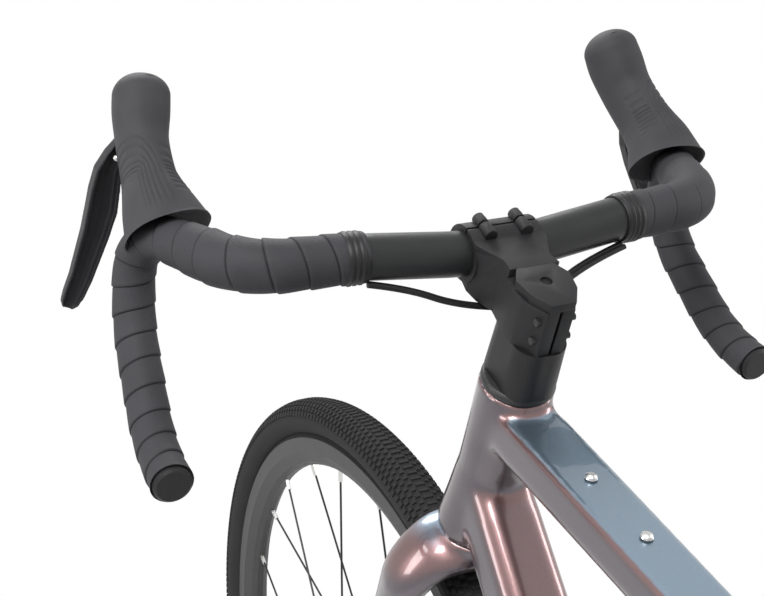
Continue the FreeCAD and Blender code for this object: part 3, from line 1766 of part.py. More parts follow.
def chain():
    total = chain_length(cage_turn_now)
    count = int(round(total / chain_pitch))
    pins = [chain_place(chain_pitch * index) for index in range(count)]
    plates = []
    for index in range(count):
        start = pins[index]
        end = pins[(index + 1) % count]
        inner = chain_inner_half_gap + (chain_plate_step if index % 2 else 0)
        for low in (inner, -inner - chain_plate_thickness):
            plates.append(chain_plate(start, end, low - chain_line))
    return plates


def chainring():
    disc = sprocket(shell_point, -chain_line, chainring_teeth, sprocket_thickness, chain_phase(0))
    window = pitch_radius(chainring_teeth) - tooth_root - chainring_rim
    center = shell_point - left_way * chain_line
    ring = disc.cut(rod(center - left_way * overrun, center + left_way * overrun, window))
    pieces = [ring, rod(center - left_way * (sprocket_thickness / 2),
                        center + left_way * (sprocket_thickness / 2),
                        crank_hub_radius)]
    for index in range(crank_spider_arms):
        turn = full_turn * index / crank_spider_arms + full_turn / (crank_spider_arms * 2)
        tip = around(center, window + chainring_rim * 0.4, turn, -sprocket_thickness / 2)
        root = around(center, 0, turn, -sprocket_thickness / 2)
        across = unit((tip - root).cross(left_way)) * (crank_spider_width / 2)
        pieces.append(plate([root + across, tip + across, tip - across, root - across],
                            left_way * sprocket_thickness))
    body = joined(pieces)
    return body.cut(rod(center - left_way * overrun, center + left_way * overrun,
                        spindle_radius + running_gap))


def crank_arms():
    """Right arm with the axle, pointing ahead, the left arm pointing back, and their pedal spindles."""
    outer = crank_inner_face + crank_thickness
    right_base = shell_point - left_way * outer
    right_arm = bar_round(right_base, right_base + front_way * crank_length, crank_hub_radius,
                          crank_eye_radius,
                          left_way * crank_thickness)
    neck = rod(shell_point - left_way * (crank_inner_face + overrun / 2),
               shell_point - left_way * (chain_line + sprocket_thickness / 2), crank_hub_radius * 0.94)
    spindle = rod(shell_point - left_way * (crank_inner_face + overrun / 2),
                  shell_point + left_way * (outer - running_gap), spindle_radius)
    right = joined([right_arm, neck, spindle])
    left_base = shell_point + left_way * crank_inner_face
    left_arm = bar_round(left_base, left_base - front_way * crank_length, crank_hub_radius, crank_eye_radius,
                         left_way * crank_thickness)
    left = left_arm.cut(rod_along(left_base - left_way * overrun, left_way, crank_thickness + overrun * 2,
                                  spindle_radius))
    arms = []
    for arm, way, side in ((right, front_way, -1), (left, front_way * -1, 1)):
        eye = shell_point + way * crank_length + left_way * (side * crank_inner_face)
        spindle = rod_along(eye, left_way * side, crank_thickness + pedal_gap + pedal_width,
                            pedal_spindle_radius)
        arms.append(joined([arm, spindle]))
    return arms


def pedal(way, side):
    """Open platform around a barrel that turns on the crank's pedal spindle."""
    outer = crank_inner_face + crank_thickness
    eye = shell_point + way * crank_length
    start = eye + left_way * (side * (outer + pedal_gap))
    barrel = rod_along(start, left_way * side, pedal_width, pedal_barrel_radius)
    bore = rod_along(start - left_way * (side * overrun), left_way * side, pedal_width,
                     pedal_spindle_radius + running_gap)
    cap_room = rod_along(start + left_way * (side * (pedal_width - overrun * 2)), left_way * side,
                         overrun * 2,
                         pedal_spindle_radius + running_gap)
    low = start - front_way * (pedal_length / 2) - sky_way * (pedal_thickness / 2)
    corners = [low, low + front_way * pedal_length,
               low + front_way * pedal_length + left_way * (side * pedal_width),
               low + left_way * (side * pedal_width)]
    body = plate(corners, sky_way * pedal_thickness)
    for reach in (1, -1):
        inner = pedal_barrel_radius
        far = pedal_length / 2 - pedal_bar
        first = start + front_way * (reach * inner) + left_way * (side * pedal_bar) - sky_way * pedal_thickness
        second = start + front_way * (reach * far) + left_way * (side * pedal_bar) - sky_way * pedal_thickness
        span = left_way * (side * (pedal_width - 2 * pedal_bar))
        body = body.cut(plate([first, second, second + span, first + span], sky_way * (2 * pedal_thickness)))
    return joined([body, barrel]).cut(bore).cut(cap_room)


def cassette():
    first = -(rear_flange_right + flange_thickness)
    middle_offset = -chain_line + chain_cog * cog_spacing
    core_end = rear_spacing / 2 - dropout_thickness * 0.5
    tube_start = middle_offset + cog_spacing
    pieces = [turned(ring_outline(freehub_radius, hub_end_radius + running_gap, core_end + tube_start),
                     rear_axle_point - left_way * core_end, left_way)]
    phase = chain_phase(1)
    for index, teeth in enumerate(cog_teeth):
        offset = middle_offset - index * cog_spacing
        body = cog(rear_axle_point, offset, teeth, sprocket_thickness, phase)
        pieces.append(body)
    whole = joined(pieces)
    core = rod(rear_axle_point + left_way * first, rear_axle_point - left_way * rear_spacing,
               hub_end_radius + running_gap)
    return whole.cut(core)


# Rear derailleur
def jockey(center, phase):
    body = cog(center, -chain_line, jockey_teeth, jockey_thickness, phase)
    middle = center - left_way * chain_line
    return body.cut(rod(middle - left_way * overrun, middle + left_way * overrun, jockey_bore_radius))


def jockey_upper():
    return jockey(guide_point(), chain_phase(2))


def jockey_lower():
    return jockey(tension_point(cage_turn_now), chain_phase(3))


def derailleur_cage():
    """Two long plates with the pulley pins between them."""
    guide = guide_point() - left_way * chain_line
    tension = tension_point(cage_turn_now) - left_way * chain_line
    pieces = []
    for low in (cage_half_gap, -cage_half_gap - cage_plate_thickness):
        pieces.append(bar_round(guide + left_way * low, tension + left_way * low, cage_plate_radius,
                                cage_plate_radius * 0.9, left_way * cage_plate_thickness))
    half = left_way * (cage_half_gap + cage_plate_thickness)
    for center in (guide, tension):
        pieces.append(rod(center - half, center + half, jockey_bore_radius - running_gap))
    pieces.append(rod(guide - half, guide - half - left_way * (knuckle_length * 0.6), cage_pivot_radius))
    return joined(pieces)


def mech_base_point():
    return hanger_point() - left_way * (rear_spacing / 2 + dropout_thickness)


def knuckle_point():
    """Inner face of the knuckle, beside the outer cage plate."""
    outer = chain_line + cage_half_gap + cage_plate_thickness + face_gap
    return guide_point() - left_way * outer


def link_ends():
    """Pivots of the link on the base and on the knuckle, and the direction of the pivots."""
    top = mech_base_point() - left_way * (base_knuckle_length / 2)
    low = knuckle_point() - left_way * (knuckle_length / 2)
    way = unit(V(low.x - top.x, 0, low.z - top.z))
    start = top + way * (base_knuckle_radius + link_width / 2 + face_gap)
    end = low - way * (knuckle_radius + link_width / 2 + face_gap)
    return start, end, left_way.cross(way)


def link_fork(center, pivot, side):
    """Two cheeks and a pin that carry one end of the link."""
    inner = link_thickness / 2 + face_gap
    pieces = []
    for low in (inner, -inner - link_cheek):
        pieces.append(bar_round(center + side * low, pivot + side * low, link_width / 2, link_width / 2,
                                side * link_cheek))
    reach = side * (inner + link_cheek)
    pieces.append(rod(pivot - reach, pivot + reach, link_pin_radius))
    return pieces


def derailleur_base():
    base = mech_base_point()
    start, end, side = link_ends()
    body = rod(base, base - left_way * base_knuckle_length, base_knuckle_radius)
    return joined([body] + link_fork(base - left_way * (base_knuckle_length / 2), start, side))


def derailleur_link():
    start, end, side = link_ends()
    half = side * (link_thickness / 2)
    body = bar_round(start - half, end - half, link_width / 2, link_width / 2, side * link_thickness)
    for pivot in (start, end):
        body = body.cut(rod(pivot - side * link_thickness, pivot + side * link_thickness,
                            link_pin_radius + running_gap))
    return body


def derailleur_knuckle():
    base = knuckle_point()
    start, end, side = link_ends()
    body = rod(base, base - left_way * knuckle_length, knuckle_radius)
    body = joined([body] + link_fork(base - left_way * (knuckle_length / 2), end, side))
    return body.cut(rod(base + left_way * overrun, base - left_way * (knuckle_length * 0.8),
                        cage_pivot_radius + running_gap))


def export(name, shapes):
    if isinstance(shapes, list):
        solids = [solid for shape in shapes for solid in shape.Solids]
    else:
        solids = shapes.Solids
    whole = solids[0] if len(solids) == 1 else Part.makeCompound(solids)
    whole.exportStep(os.path.join("parts", name + ".step"))


def main():
    os.makedirs("parts", exist_ok=True)
    export("head_tube", head_tube())
    export("top_tube", top_tube())
    export("down_tube", down_tube())
    export("seat_tube", seat_tube())
    export("bottom_bracket_shell", bottom_bracket_shell())
    export("rear_stays", rear_stays())
    export("dropouts", dropouts())
    export("seat_clamp", seat_clamp())
    export("frame_bearings", frame_bearings())
    export("rear_axle", rear_axle())
    export("rear_caliper", rear_caliper())
    export("top_tube_bolts", top_tube_bolts())
    export("seatpost", seatpost())
    export("saddle_clamp", saddle_clamp())
    export("saddle_rails", saddle_rails())
    export("saddle", saddle())
    export("fork", fork())
    export("headset_cover", headset_cover())
    export("stem_spacers", stem_spacers())
    export("stem", stem())
    export("stem_faceplate", stem_faceplate())
    export("stem_bolts", stem_bolts())
    export("stem_cap", stem_cap())
    export("handlebar", handlebar())
    export("bar_tape", bar_tape())
    export("bar_end_plugs", bar_end_plugs())
    export("hoods", hoods())
    export("lever_brackets", lever_brackets())
    export("brake_hoses", brake_hoses())
    export("front_caliper", front_caliper())
    export("front_axle", front_axle())
    export("brake_lever_left", brake_lever())
    export("brake_lever_right", brake_lever_right())
    export("shift_paddle", shift_paddle())
    export("front_rim", rim(front_axle_point))
    export("front_tyre", tyre(front_axle_point))
    export("front_spokes", spokes(front_axle_point, front_flange_radius, front_flange_left,
                                  front_flange_right))
    export("front_hub", front_hub())
    export("front_rotor", rotor(front_axle_point, front_rotor_offset))
    export("rear_rim", rim(rear_axle_point))
    export("rear_tyre", tyre(rear_axle_point))
    export("rear_spokes", spokes(rear_axle_point, rear_flange_radius, rear_flange_left, rear_flange_right))
    export("rear_hub", rear_hub())
    export("rear_rotor", rotor(rear_axle_point, rear_rotor_offset))
    front_outward, front_along = front_caliper_ways()
    rear_outward, rear_along = rear_caliper_ways()
    for name, side in (("left", 1), ("right", -1)):
        export("front_pad_" + name, brake_pad(front_axle_point, front_rotor_offset, front_outward,
                                              front_along, side))
        export("rear_pad_" + name, brake_pad(rear_axle_point, rear_rotor_offset, rear_outward,
                                             rear_along, side))
    export("cassette", cassette())
    export("crank_arms", crank_arms())
    export("chainring", chainring())
    export("pedal_right", pedal(front_way, -1))
    export("pedal_left", pedal(front_way * -1, 1))
    export("chain", chain())
    export("derailleur_base", derailleur_base())
    export("derailleur_link", derailleur_link())
    export("derailleur_knuckle", derailleur_knuckle())
    export("derailleur_cage", derailleur_cage())
    export("jockey_upper", jockey_upper())
    export("jockey_lower", jockey_lower())


main()
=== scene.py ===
import math

import bmesh
import bpy
from mathutils import Matrix, Quaternion, Vector
from mathutils.bvhtree import BVHTree


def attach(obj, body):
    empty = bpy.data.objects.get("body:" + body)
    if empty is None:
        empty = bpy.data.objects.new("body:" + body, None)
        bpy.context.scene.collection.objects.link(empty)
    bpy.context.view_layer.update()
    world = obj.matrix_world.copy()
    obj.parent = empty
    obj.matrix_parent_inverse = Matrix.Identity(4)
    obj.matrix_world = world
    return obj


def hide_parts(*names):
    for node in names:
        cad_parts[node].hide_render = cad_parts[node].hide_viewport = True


bl_info = {
    "name": "Gravel bike looks",
    "version": (1, 0, 0),
    "blender": (4, 5, 0),
    "location": "View3D > Sidebar > Gravel bike",
    "description": "Builds the finishes and soft pieces of a gravel bike around its packed parts",
    "category": "Object",
}

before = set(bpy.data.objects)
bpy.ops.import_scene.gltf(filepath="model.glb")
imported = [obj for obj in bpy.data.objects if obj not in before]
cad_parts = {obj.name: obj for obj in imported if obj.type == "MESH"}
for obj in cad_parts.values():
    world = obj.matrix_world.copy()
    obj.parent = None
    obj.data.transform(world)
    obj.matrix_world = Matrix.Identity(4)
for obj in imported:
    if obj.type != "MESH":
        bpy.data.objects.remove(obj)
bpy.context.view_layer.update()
materials = {}

MM = 0.001

# Directions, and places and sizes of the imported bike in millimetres
LEFT = Vector((0, 1, 0))
FORE = Vector((1, 0, 0))
BACK = Vector((-1, 0, 0))
UP = Vector((0, 0, 1))
STEER_UP = Vector((-0.325568, 0.0, 0.945519))
SEAT_UP = Vector((-0.284015, 0.0, 0.95882))
HEAD_TOP = Vector((296.76, 0.0, 843.18))
CROWN = Vector((343.97, 0.0, 706.08))
BAR_CENTER = Vector((333.90, 0.0, 928.84))
FRONT_AXLE = Vector((517.0, 0.0, 351.0))
REAR_AXLE = Vector((-517.0, 0.0, 351.0))
SHELL = Vector((-93.07, 0.0, 279.0))
TYRE_RADIUS = 351.0
RIM_RADIUS = 315.5
NIPPLE_REACH = 276.5
HANDS = (("left", 1), ("right", -1))
WHEELS = (("front", FRONT_AXLE), ("rear", REAR_AXLE))

# Handlebar and hoses as (ahead, left, up) from the middle of the bar clamp
BAR_CORNERS = ((4.4, 100.0, 6.2), (13.3, 179.2, 6.0), (113.0, 221.4, 9.5), (113.0, 227.6, -57.5),
               (40.0, 237.2, -123.6), (-1.1, 238.6, -130.0))
BAR_BENDS = (49.7, 33.9, 70.0, 99.4)
BEND_STEP = 2.0
ROUTE_STEP = 1.0
HOSE_ROUTE = ((-4.96, 99.95, -9.9), (-7.04, 71.5, -16.56), (-12.48, 35.94, -32.4), (-16.0, 11.05, -36.0))
# Name, side, set back and radius of each hose
HOSES = (("hose_left", 1, 0.0, 2.5), ("hose_right", -1, 0.0, 2.5), ("gear_cable", -1, 4.8, 2.0))

# Bar tape: outside radius by share of the route, and rows by share of one turn
TAPE_RADII = ((0.0, 17.3), (0.10, 17.7), (0.18, 18.2), (0.30, 18.2), (0.42, 15.2), (1.0, 14.7))
TAPE_SHARES = (0.025, 0.06, 0.12, 0.24, 0.4, 0.56, 0.72, 0.86, 0.94)
TAPE_LAST = 0.975
TAPE_FULL = 0.9
TAPE_AROUND = 64
TAPE_WELD = 0.00001
SEAM_DEPTH = 0.35
SEAM_LIFT = 0.55
# Painted shade in the tape seams: full at the foot of each step, this share on the rows at its edges
SEAM_SHADE = 0.35
SEAM_EDGE = 0.03
# Finishing tape as (distance from the tape edge, radius)
TAPE_RIDGES = ((-1.5, 15.9), (-1.5, 16.9), (-0.6, 17.5), (1.0, 17.7), (2.2, 17.6), (3.0, 18.4), (4.2, 18.4),
               (5.0, 17.7), (6.2, 17.7), (7.0, 18.5), (8.2, 18.5), (9.0, 17.8), (10.2, 17.8), (11.0, 18.6),
               (12.2, 18.6), (13.0, 18.0), (14.2, 18.0), (14.4, 17.0))

# Hood sections: middle from the bar clamp, reach to the rear, reach ahead and half width
HOOD_STATIONS = (
    (92.0, 205.5, 9.0, 30.0, 25.0, 30.5), (105.6, 207.3, 22.0, 25.5, 24.0, 25.5),
    (118.0, 207.4, 31.0, 23.0, 24.0, 21.2), (129.4, 206.5, 39.5, 22.0, 24.0, 18.8),
    (150.0, 203.5, 57.0, 22.0, 23.8, 18.4), (162.0, 200.0, 74.0, 23.5, 24.0, 20.2),
    (168.2, 197.5, 85.8, 22.5, 22.0, 20.4))
HOOD_ROWS = 210
HOOD_DOME_ROWS = 24
HOOD_AROUND = 220
HOOD_DOME = 16.5
HOOD_TIP = 0.01
HOOD_SQUARE = 0.88
# Rings inside the open end as (share of the first section, depth)
HOOD_INSIDE = ((0.45, 12.0), (0.86, 5.0), (0.95, 0.8))
PIN_END = (158.0, 220.5, 46.0)
PIN_RADIUS = 2.4

# Grooves, ribs and hem of the hood, by share along it and by angle round it from the outer side;
# a span gives its low and high end and the fade at each
GROOVE_START = 0.08
GROOVE_FADE = 0.05
GROOVE_RUN = 0.38
GROOVE_RUN_STEP = 0.045
GROOVE_TURN = 0.95
GROOVE_TURN_STEP = 0.14
GROOVE_ANGLES = (-0.75, 1.8, 0.25, 0.1)
GROOVE_FIRST = 0.5
GROOVE_LAST = 5.5
GROOVE_HALF = 0.26
RIB_RUN = (0.16, 0.60, 0.03, 0.03)
RIB_ANGLES = (1.85, 2.75, 0.1, 0.1)
RIB_COUNT = 20.0
RIB_HALF = 0.34
HEM_RUN = 0.025
HEM_HEIGHT = 0.5

# Lever sections: middle from the bar clamp, half width and depth, with one outline for all
LEVER_STATIONS = (
    (166.5, 213.5, 57.0, 4.0, 6.0), (169.0, 218.6, 46.0, 7.6, 7.6), (172.0, 224.0, 34.0, 9.5, 8.0),
    (174.0, 227.0, 20.0, 10.6, 8.0), (175.0, 229.7, 5.0, 11.2, 7.6), (175.4, 235.0, -12.0, 10.2, 7.2),
    (175.0, 242.0, -30.0, 9.2, 6.6), (174.2, 248.0, -45.0, 8.4, 6.0), (173.6, 254.0, -57.0, 7.8, 5.4),
    (173.4, 257.6, -64.0, 6.4, 4.4), (173.3, 259.2, -67.5, 3.6, 2.6))
LEVER_SECTION = ((-1.0, -1.0), (-1.0, 0.3), (-0.7, 0.85), (0.0, 1.1), (0.7, 0.85), (1.0, 0.3), (1.0, -1.0),
                 (0.76, -1.0), (0.62, -0.42), (0.0, -0.3), (-0.62, -0.42), (-0.76, -1.0))
LEVER_CUT = (0.0, 0.0, 34.0)

# Tyre casing and rows of tread blocks as (distance from the crown, width, length, stagger, height share)
CASING_STEPS = 24
CASING_TURNS = 220
CASING_HALF = 19.6
CASING_SWEEP = 0.83
CASING_MIDDLE = 0.52
CASING_BULGE = 0.48
CASING_BEAD = ((0.4, 13.2), (-1.5, 11.0))
KNOB_ROWS = ((0.0, 9.5, 3.2, 0.0, 0.9), (7.6, 4.2, 3.6, 0.5, 0.9), (12.6, 3.9, 3.8, 0.0, 1.0),
             (17.4, 4.0, 4.2, 0.5, 1.05), (22.2, 4.6, 4.8, 0.0, 1.1))
KNOB_TAPER = 0.82
KNOB_ROOT = 0.4

# Frame tubes: round ones as (height, radius), the others as (share of the run, width, height)
HEAD_OUTLINE = ((0.0, 30.2), (8.7, 30.5), (30.0, 28.9), (65.0, 26.4), (105.0, 26.6), (145.0, 27.2))
SEAT_OUTLINE = ((0.0, 17.2), (250.0, 17.2), (516.0, 17.2))
SHELL_OUTLINE = ((0.0, 24.0), (86.0, 24.0))
SHELL_HALF = 43.0
STEERER_OUTLINE = ((-12.0, 14.3), (226.0, 14.3))
FORK_CUT = 0.5
TOP_SLOPE = math.radians(8.4)
TOP_DROP = 13.6
TOP_REACH = 541.0
TOP_RINGS = ((0.0, 46.0, 37.0), (0.25, 44.0, 35.25), (0.5, 42.0, 33.5), (0.75, 40.0, 31.75), (1.0, 38.0, 30.0))
TOP_ROUNDS = (5.5, 13.0)
DOWN_START = 46.0
DOWN_RINGS = ((0.0, 50.0, 50.0), (0.3, 53.6, 49.4), (0.6, 57.2, 48.8), (1.0, 62.0, 48.0))
DOWN_ROUNDS = (15.0, 15.0)
CORNER_STEPS = 6
RING_COUNT = 40

# Skins: mesh size, reach of the fillets and rounds of smoothing, with the least smoothing of each source
LEVER_SKIN = (0.8, 3.0, 10)
SADDLE_SKIN = (2.5, 1.0, 24)
FRAME_FILLETS = (16.0, 40)
FILLET_GAIN = 1.4
LEAST = {"tube": 0.06, "stays": 0.5, "dropouts": 0.1, "blades": 0.5, "steerer": 0.0, "lever_root": 0.4,
         "lever": 0.3, "saddle": 0.8}

# Angles, in radians, and the welding distance, in metres
SHARP_ANGLE = 0.6
ROUNDED_SHARP_ANGLE = 0.7
SPOKE_SHARP_ANGLE = 1.2
FLAT_ANGLE = 0.01
WELD = 0.00002

# Key, material name, colour, roughness and other values of each plain finish
FINISHES = (
    ("finish_tape", "finish_tape", (0.012, 0.012, 0.013), 0.45, {"specular": 0.25}),
    ("hood", "hood_rubber", (0.043, 0.043, 0.046), 0.62, {"grain": 0.35, "scale": 1600.0, "specular": 0.14}),
    ("bar", "bar_black", (0.012, 0.0125, 0.013), 0.36, {"grain": 0.2, "specular": 0.35}),
    ("stem", "stem_black", (0.010, 0.010, 0.011), 0.5, {"grain": 0.8, "scale": 2200.0, "specular": 0.22}),
    ("spacer", "spacer_black", (0.009, 0.0085, 0.009), 0.42, {"grain": 0.3, "specular": 0.25}),
    ("lever", "lever_dark", (0.014, 0.014, 0.016), 0.4, {"grain": 0.2, "specular": 0.22}),
    ("plastic", "black_plastic", (0.014, 0.014, 0.015), 0.5, {"grain": 0.3}),
    ("hose", "hose_black", (0.010, 0.010, 0.011), 0.35, {}),
    ("tyre", "tyre_rubber", (0.028, 0.0275, 0.028), 0.8, {"grain": 0.5, "scale": 1200.0, "specular": 0.12}),
    ("rim", "rim_grey", (0.050, 0.049, 0.050), 0.45, {"grain": 0.2, "specular": 0.22}),
    ("spoke", "spoke_black", (0.014, 0.014, 0.015), 0.35, {}),
    ("nipple", "nipple_silver", (0.62, 0.62, 0.60), 0.28, {"metallic": 1.0}),
    ("steel", "bright_steel", (0.56, 0.56, 0.55), 0.3, {"metallic": 1.0}),
    ("dark_steel", "dark_steel", (0.20, 0.20, 0.20), 0.36, {"metallic": 1.0}),
    ("alloy", "black_alloy", (0.017, 0.017, 0.018), 0.42, {"grain": 0.3, "specular": 0.35}),
    ("cover", "saddle_cover", (0.018, 0.018, 0.019), 0.52, {"grain": 0.5, "scale": 1800.0}),
    ("pad", "brake_pad", (0.08, 0.07, 0.06), 0.8, {"grain": 0.6}))
FINISH_VARY = 0.14
# Near-black painted shade laid into the tape seams
SEAM_SHADE_COLOUR = (0.004, 0.004, 0.005, 1.0)
WHITE = (1.0, 1.0, 1.0, 1.0)
FLOOR_COLOUR = (0.82, 0.82, 0.82, 1.0)
PAINT_FACES = ("Top", "Edge", "Side", "Under")
# Upward part of the normal where a paint colour begins and where it is full. The colours mix the paint's
# colour shift with painted light: a lighter teal top as painted light from above, a copper painted highlight
# on the slopes, painted shade on faces that look down
PAINT_LIGHT_SLOPES = (("Edge", 0.02, 0.42), ("Top", 0.62, 0.95), ("Under", -0.05, -0.75))

# CAD nodes under the painted skin, and those that are shown as they are, by finish
FRAME_NODES = ("head_tube", "top_tube", "down_tube", "seat_tube", "bottom_bracket_shell", "rear_stays",
               "dropouts")
DRESSED = {
    "bar": ("handlebar",),
    "lever": ("shift_paddle",),
    "rim": ("front_rim", "rear_rim"),
    "plastic": ("lever_brackets", "bar_end_plugs", "jockey_upper", "jockey_lower"),
    "steel": ("top_tube_bolts", "saddle_rails", "front_rotor", "rear_rotor"),
    "dark_steel": ("frame_bearings", "front_axle", "rear_axle", "cassette", "chain"),
    "alloy": ("stem_bolts", "seatpost", "front_hub", "rear_hub", "chainring"),
    "pad": ("front_pad_left", "front_pad_right", "rear_pad_left", "rear_pad_right"),
    "spacer": ("stem_spacers",),
}

# Machined nodes that get rounded edges, and their bodies
MACHINED = {
    "crank_arms": "crank", "pedal_left": "pedal_left", "pedal_right": "pedal_right",
    "front_caliper": "steering", "headset_cover": "steering", "rear_caliper": "frame", "seat_clamp": "frame",
    "derailleur_base": "frame", "saddle_clamp": "seat", "derailleur_link": "mech_link",
    "derailleur_knuckle": "mech_knuckle", "derailleur_cage": "mech_cage"}

# Stage, in metres: floor, lamps as (name, place, width and height, share of the power), and camera
FLOOR_HALF = 30.0
FLOOR_CORNERS = ((-1, -1), (1, -1), (1, 1), (-1, 1))
FLOOR_FADE = {"From Min": 0.8, "From Max": 1.15}
SKY_FADE = {"From Min": -0.2, "From Max": 1.0, "To Min": 0.45, "To Max": 1.1}
LAMP_AIM = Vector((0.3, 0.0, 0.9))
LAMPS = (("key", (-0.6, 1.2, 3.0), (1.4, 1.4), 2.2), ("strip_left", (0.6, 2.4, 1.5), (0.6, 2.0), 0.7),
         ("strip_right", (-0.2, -2.4, 1.7), (0.6, 2.0), 0.7), ("front", (2.4, -0.2, 2.2), (1.6, 0.8), 1.0))
CAMERA_PLACE = (-0.5195, 0.5005, 1.2868)
CAMERA_FORWARD = Vector((0.8349, -0.4046, -0.3731))
CAMERA_RIGHT = Vector((-0.4306, -0.9024, 0.0151))
SENSOR_WIDTH = 36.0
PICTURE_FOCUS = 1521.4
PICTURE_WIDTH = 764


class GravelBikeSettings(bpy.types.PropertyGroup):
    """Sizes, colours and light levels that a user may change."""
    tape_pitch: bpy.props.FloatProperty(
        name="Tape pitch", description="Advance of the bar tape per turn", default=0.021, subtype="DISTANCE")
    tape_step: bpy.props.FloatProperty(
        name="Tape step", description="Height of one turn's edge over the next", default=0.0009,
        subtype="DISTANCE")
    knob_pitch: bpy.props.FloatProperty(
        name="Tread pitch", description="Distance between tread blocks", default=0.0076, subtype="DISTANCE")
    knob_height: bpy.props.FloatProperty(
        name="Tread height", description="Height of a tread block", default=0.0017, subtype="DISTANCE")
    skin_voxel: bpy.props.FloatProperty(
        name="Skin grain", description="Mesh size of the painted skins", default=0.0022, subtype="DISTANCE")
    edge_round: bpy.props.FloatProperty(
        name="Edge rounding", description="Rounding of machined edges", default=0.0006, subtype="DISTANCE")
    # Frame colours by facing, partly the paint's colour shift and partly painted light: the top colour is
    # painted light from above, the slope colour a copper painted highlight, the under colour painted shade
    paint_top: bpy.props.FloatVectorProperty(
        name="Paint from above", description="Frame colour on faces that look up", size=3, subtype="COLOR",
        default=(0.195, 0.265, 0.335))
    paint_edge: bpy.props.FloatVectorProperty(
        name="Paint on slopes", description="Frame colour on faces that slope outwards", size=3,
        subtype="COLOR", default=(0.170, 0.098, 0.098))
    paint_side: bpy.props.FloatVectorProperty(
        name="Paint from the side", description="Frame colour on upright faces", size=3, subtype="COLOR",
        default=(0.100, 0.083, 0.096))
    paint_under: bpy.props.FloatVectorProperty(
        name="Paint from below", description="Frame colour on faces that look down", size=3, subtype="COLOR",
        default=(0.090, 0.068, 0.072))
    tape_colour: bpy.props.FloatVectorProperty(
        name="Tape colour", description="Colour of the bar tape", size=3, subtype="COLOR",
        default=(0.040, 0.0395, 0.0435))
    key_energy: bpy.props.FloatProperty(
        name="Key light", description="Power of the lamps", default=40.0, unit="POWER")
    world_strength: bpy.props.FloatProperty(
        name="Surround light", description="Strength of the light from all round", default=0.28)


def settings():
    return bpy.context.scene.gravel_bike


# Small tools
def size(name):
    """A setting in millimetres."""
    return getattr(settings(), name) / MM


def from_bar(spot):
    return BAR_CENTER + Vector(spot)


def new_object(name, data):
    thing = bpy.data.objects.new(name, data)
    bpy.context.scene.collection.objects.link(thing)
    return thing


def new_piece(name, bm, body, finish, nodes):
    """Turns a bmesh in metres into a smooth shown piece that rides a body."""
    mesh = bpy.data.meshes.new(name)
    bmesh.ops.recalc_face_normals(bm, faces=bm.faces)
    bm.to_mesh(mesh)
    bm.free()
    piece = new_object(name, mesh)
    mesh.materials.append(materials[finish])
    mesh.shade_smooth()
    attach(piece, body)
    if nodes:
        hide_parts(*nodes)
    return piece


def capped_grid(rows):
    """Skin over closed rows of points, each with the same count, with both ends filled."""
    bm = bmesh.new()
    lines = [[bm.verts.new(spot) for spot in row] for row in rows]
    for here, there in zip(lines[:-1], lines[1:]):
        for step in range(len(here)):
            after = (step + 1) % len(here)
            bm.faces.new([here[step], here[after], there[after], there[step]])
    bm.faces.new(lines[0])
    bm.faces.new(lines[-1])
    return bm


def spin_line(bm, spots, center, axis, steps):
    """Spins a line of points once round an axis."""
    line = [bm.verts.new(spot) for spot in spots]
    edges = [bm.edges.new(pair) for pair in zip(line[:-1], line[1:])]
    bmesh.ops.spin(bm, geom=line + edges, cent=center, axis=axis, angle=2 * math.pi, steps=steps,
                   use_merge=True)


def node_bmesh(name):
    """Welded copy of a CAD node."""
    bm = bmesh.new()
    bm.from_mesh(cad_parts[name].data)
    bmesh.ops.remove_doubles(bm, verts=bm.verts, dist=WELD)
    return bm


def cut_node(name, spot, way, keep_outer):
    """Closed part of a CAD node on one side of a plane."""
    bm = node_bmesh(name)
    bmesh.ops.bisect_plane(bm, geom=bm.verts[:] + bm.edges[:] + bm.faces[:], plane_co=spot * MM, plane_no=way,
                           clear_outer=not keep_outer, clear_inner=keep_outer)
    bmesh.ops.holes_fill(bm, edges=bm.edges)
    return bm


def softened(name, finish, body):
    """Copy of a CAD node with its edges rounded."""
    bm = node_bmesh(name)
    bmesh.ops.dissolve_limit(bm, angle_limit=FLAT_ANGLE, verts=bm.verts, edges=bm.edges)
    joined = [edge for edge in bm.edges if len(edge.link_faces) == 2]
    sharp = [edge for edge in joined if edge.calc_face_angle(0.0) > SHARP_ANGLE]
    bmesh.ops.bevel(bm, geom=sharp, offset=size("edge_round") * MM, segments=2, profile=0.5, affect="EDGES",
                    clamp_overlap=True, material=-1)
    piece = new_piece(name + "_look", bm, body, finish, (name,))
    piece.data.set_sharp_from_angle(angle=ROUNDED_SHARP_ANGLE)


def dress(names, finish):
    """Gives CAD nodes their finish, with smooth shading up to real edges."""
    for name in names:
        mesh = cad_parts[name].data
        mesh.materials.clear()
        mesh.materials.append(materials[finish])
        mesh.shade_smooth()
        mesh.set_sharp_from_angle(angle=SHARP_ANGLE)


# Materials
def new_material(name):
    material = bpy.data.materials.new(name)
    material.use_nodes = True
    return material, material.node_tree, material.node_tree.nodes["Principled BSDF"]


def set_inputs(node, values):
    for entry, value in values.items():
        node.inputs[entry].default_value = value


def add_node(tree, kind, values=None, **traits):
    """New shader node with its traits and input values."""
    node = tree.nodes.new("ShaderNode" + kind)
    for name, value in traits.items():
        setattr(node, name, value)
    set_inputs(node, values or {})
    return node


def connect(tree, *rows):
    """Links shader nodes; each row gives a node and its output, then a node and its input."""
    for giver, output, taker, entry in rows:
        tree.links.new(giver.outputs[output], taker.inputs[entry])


def new_group(name, entries, exits):
    """Node group with named sockets, and its input and output nodes."""
    tree = bpy.data.node_groups.new(name, "ShaderNodeTree")
    for direction, sockets in (("INPUT", entries), ("OUTPUT", exits)):
        for label, kind in sockets:
            tree.interface.new_socket(label, in_out=direction, socket_type="NodeSocket" + kind)
    return tree, tree.nodes.new("NodeGroupInput"), tree.nodes.new("NodeGroupOutput")


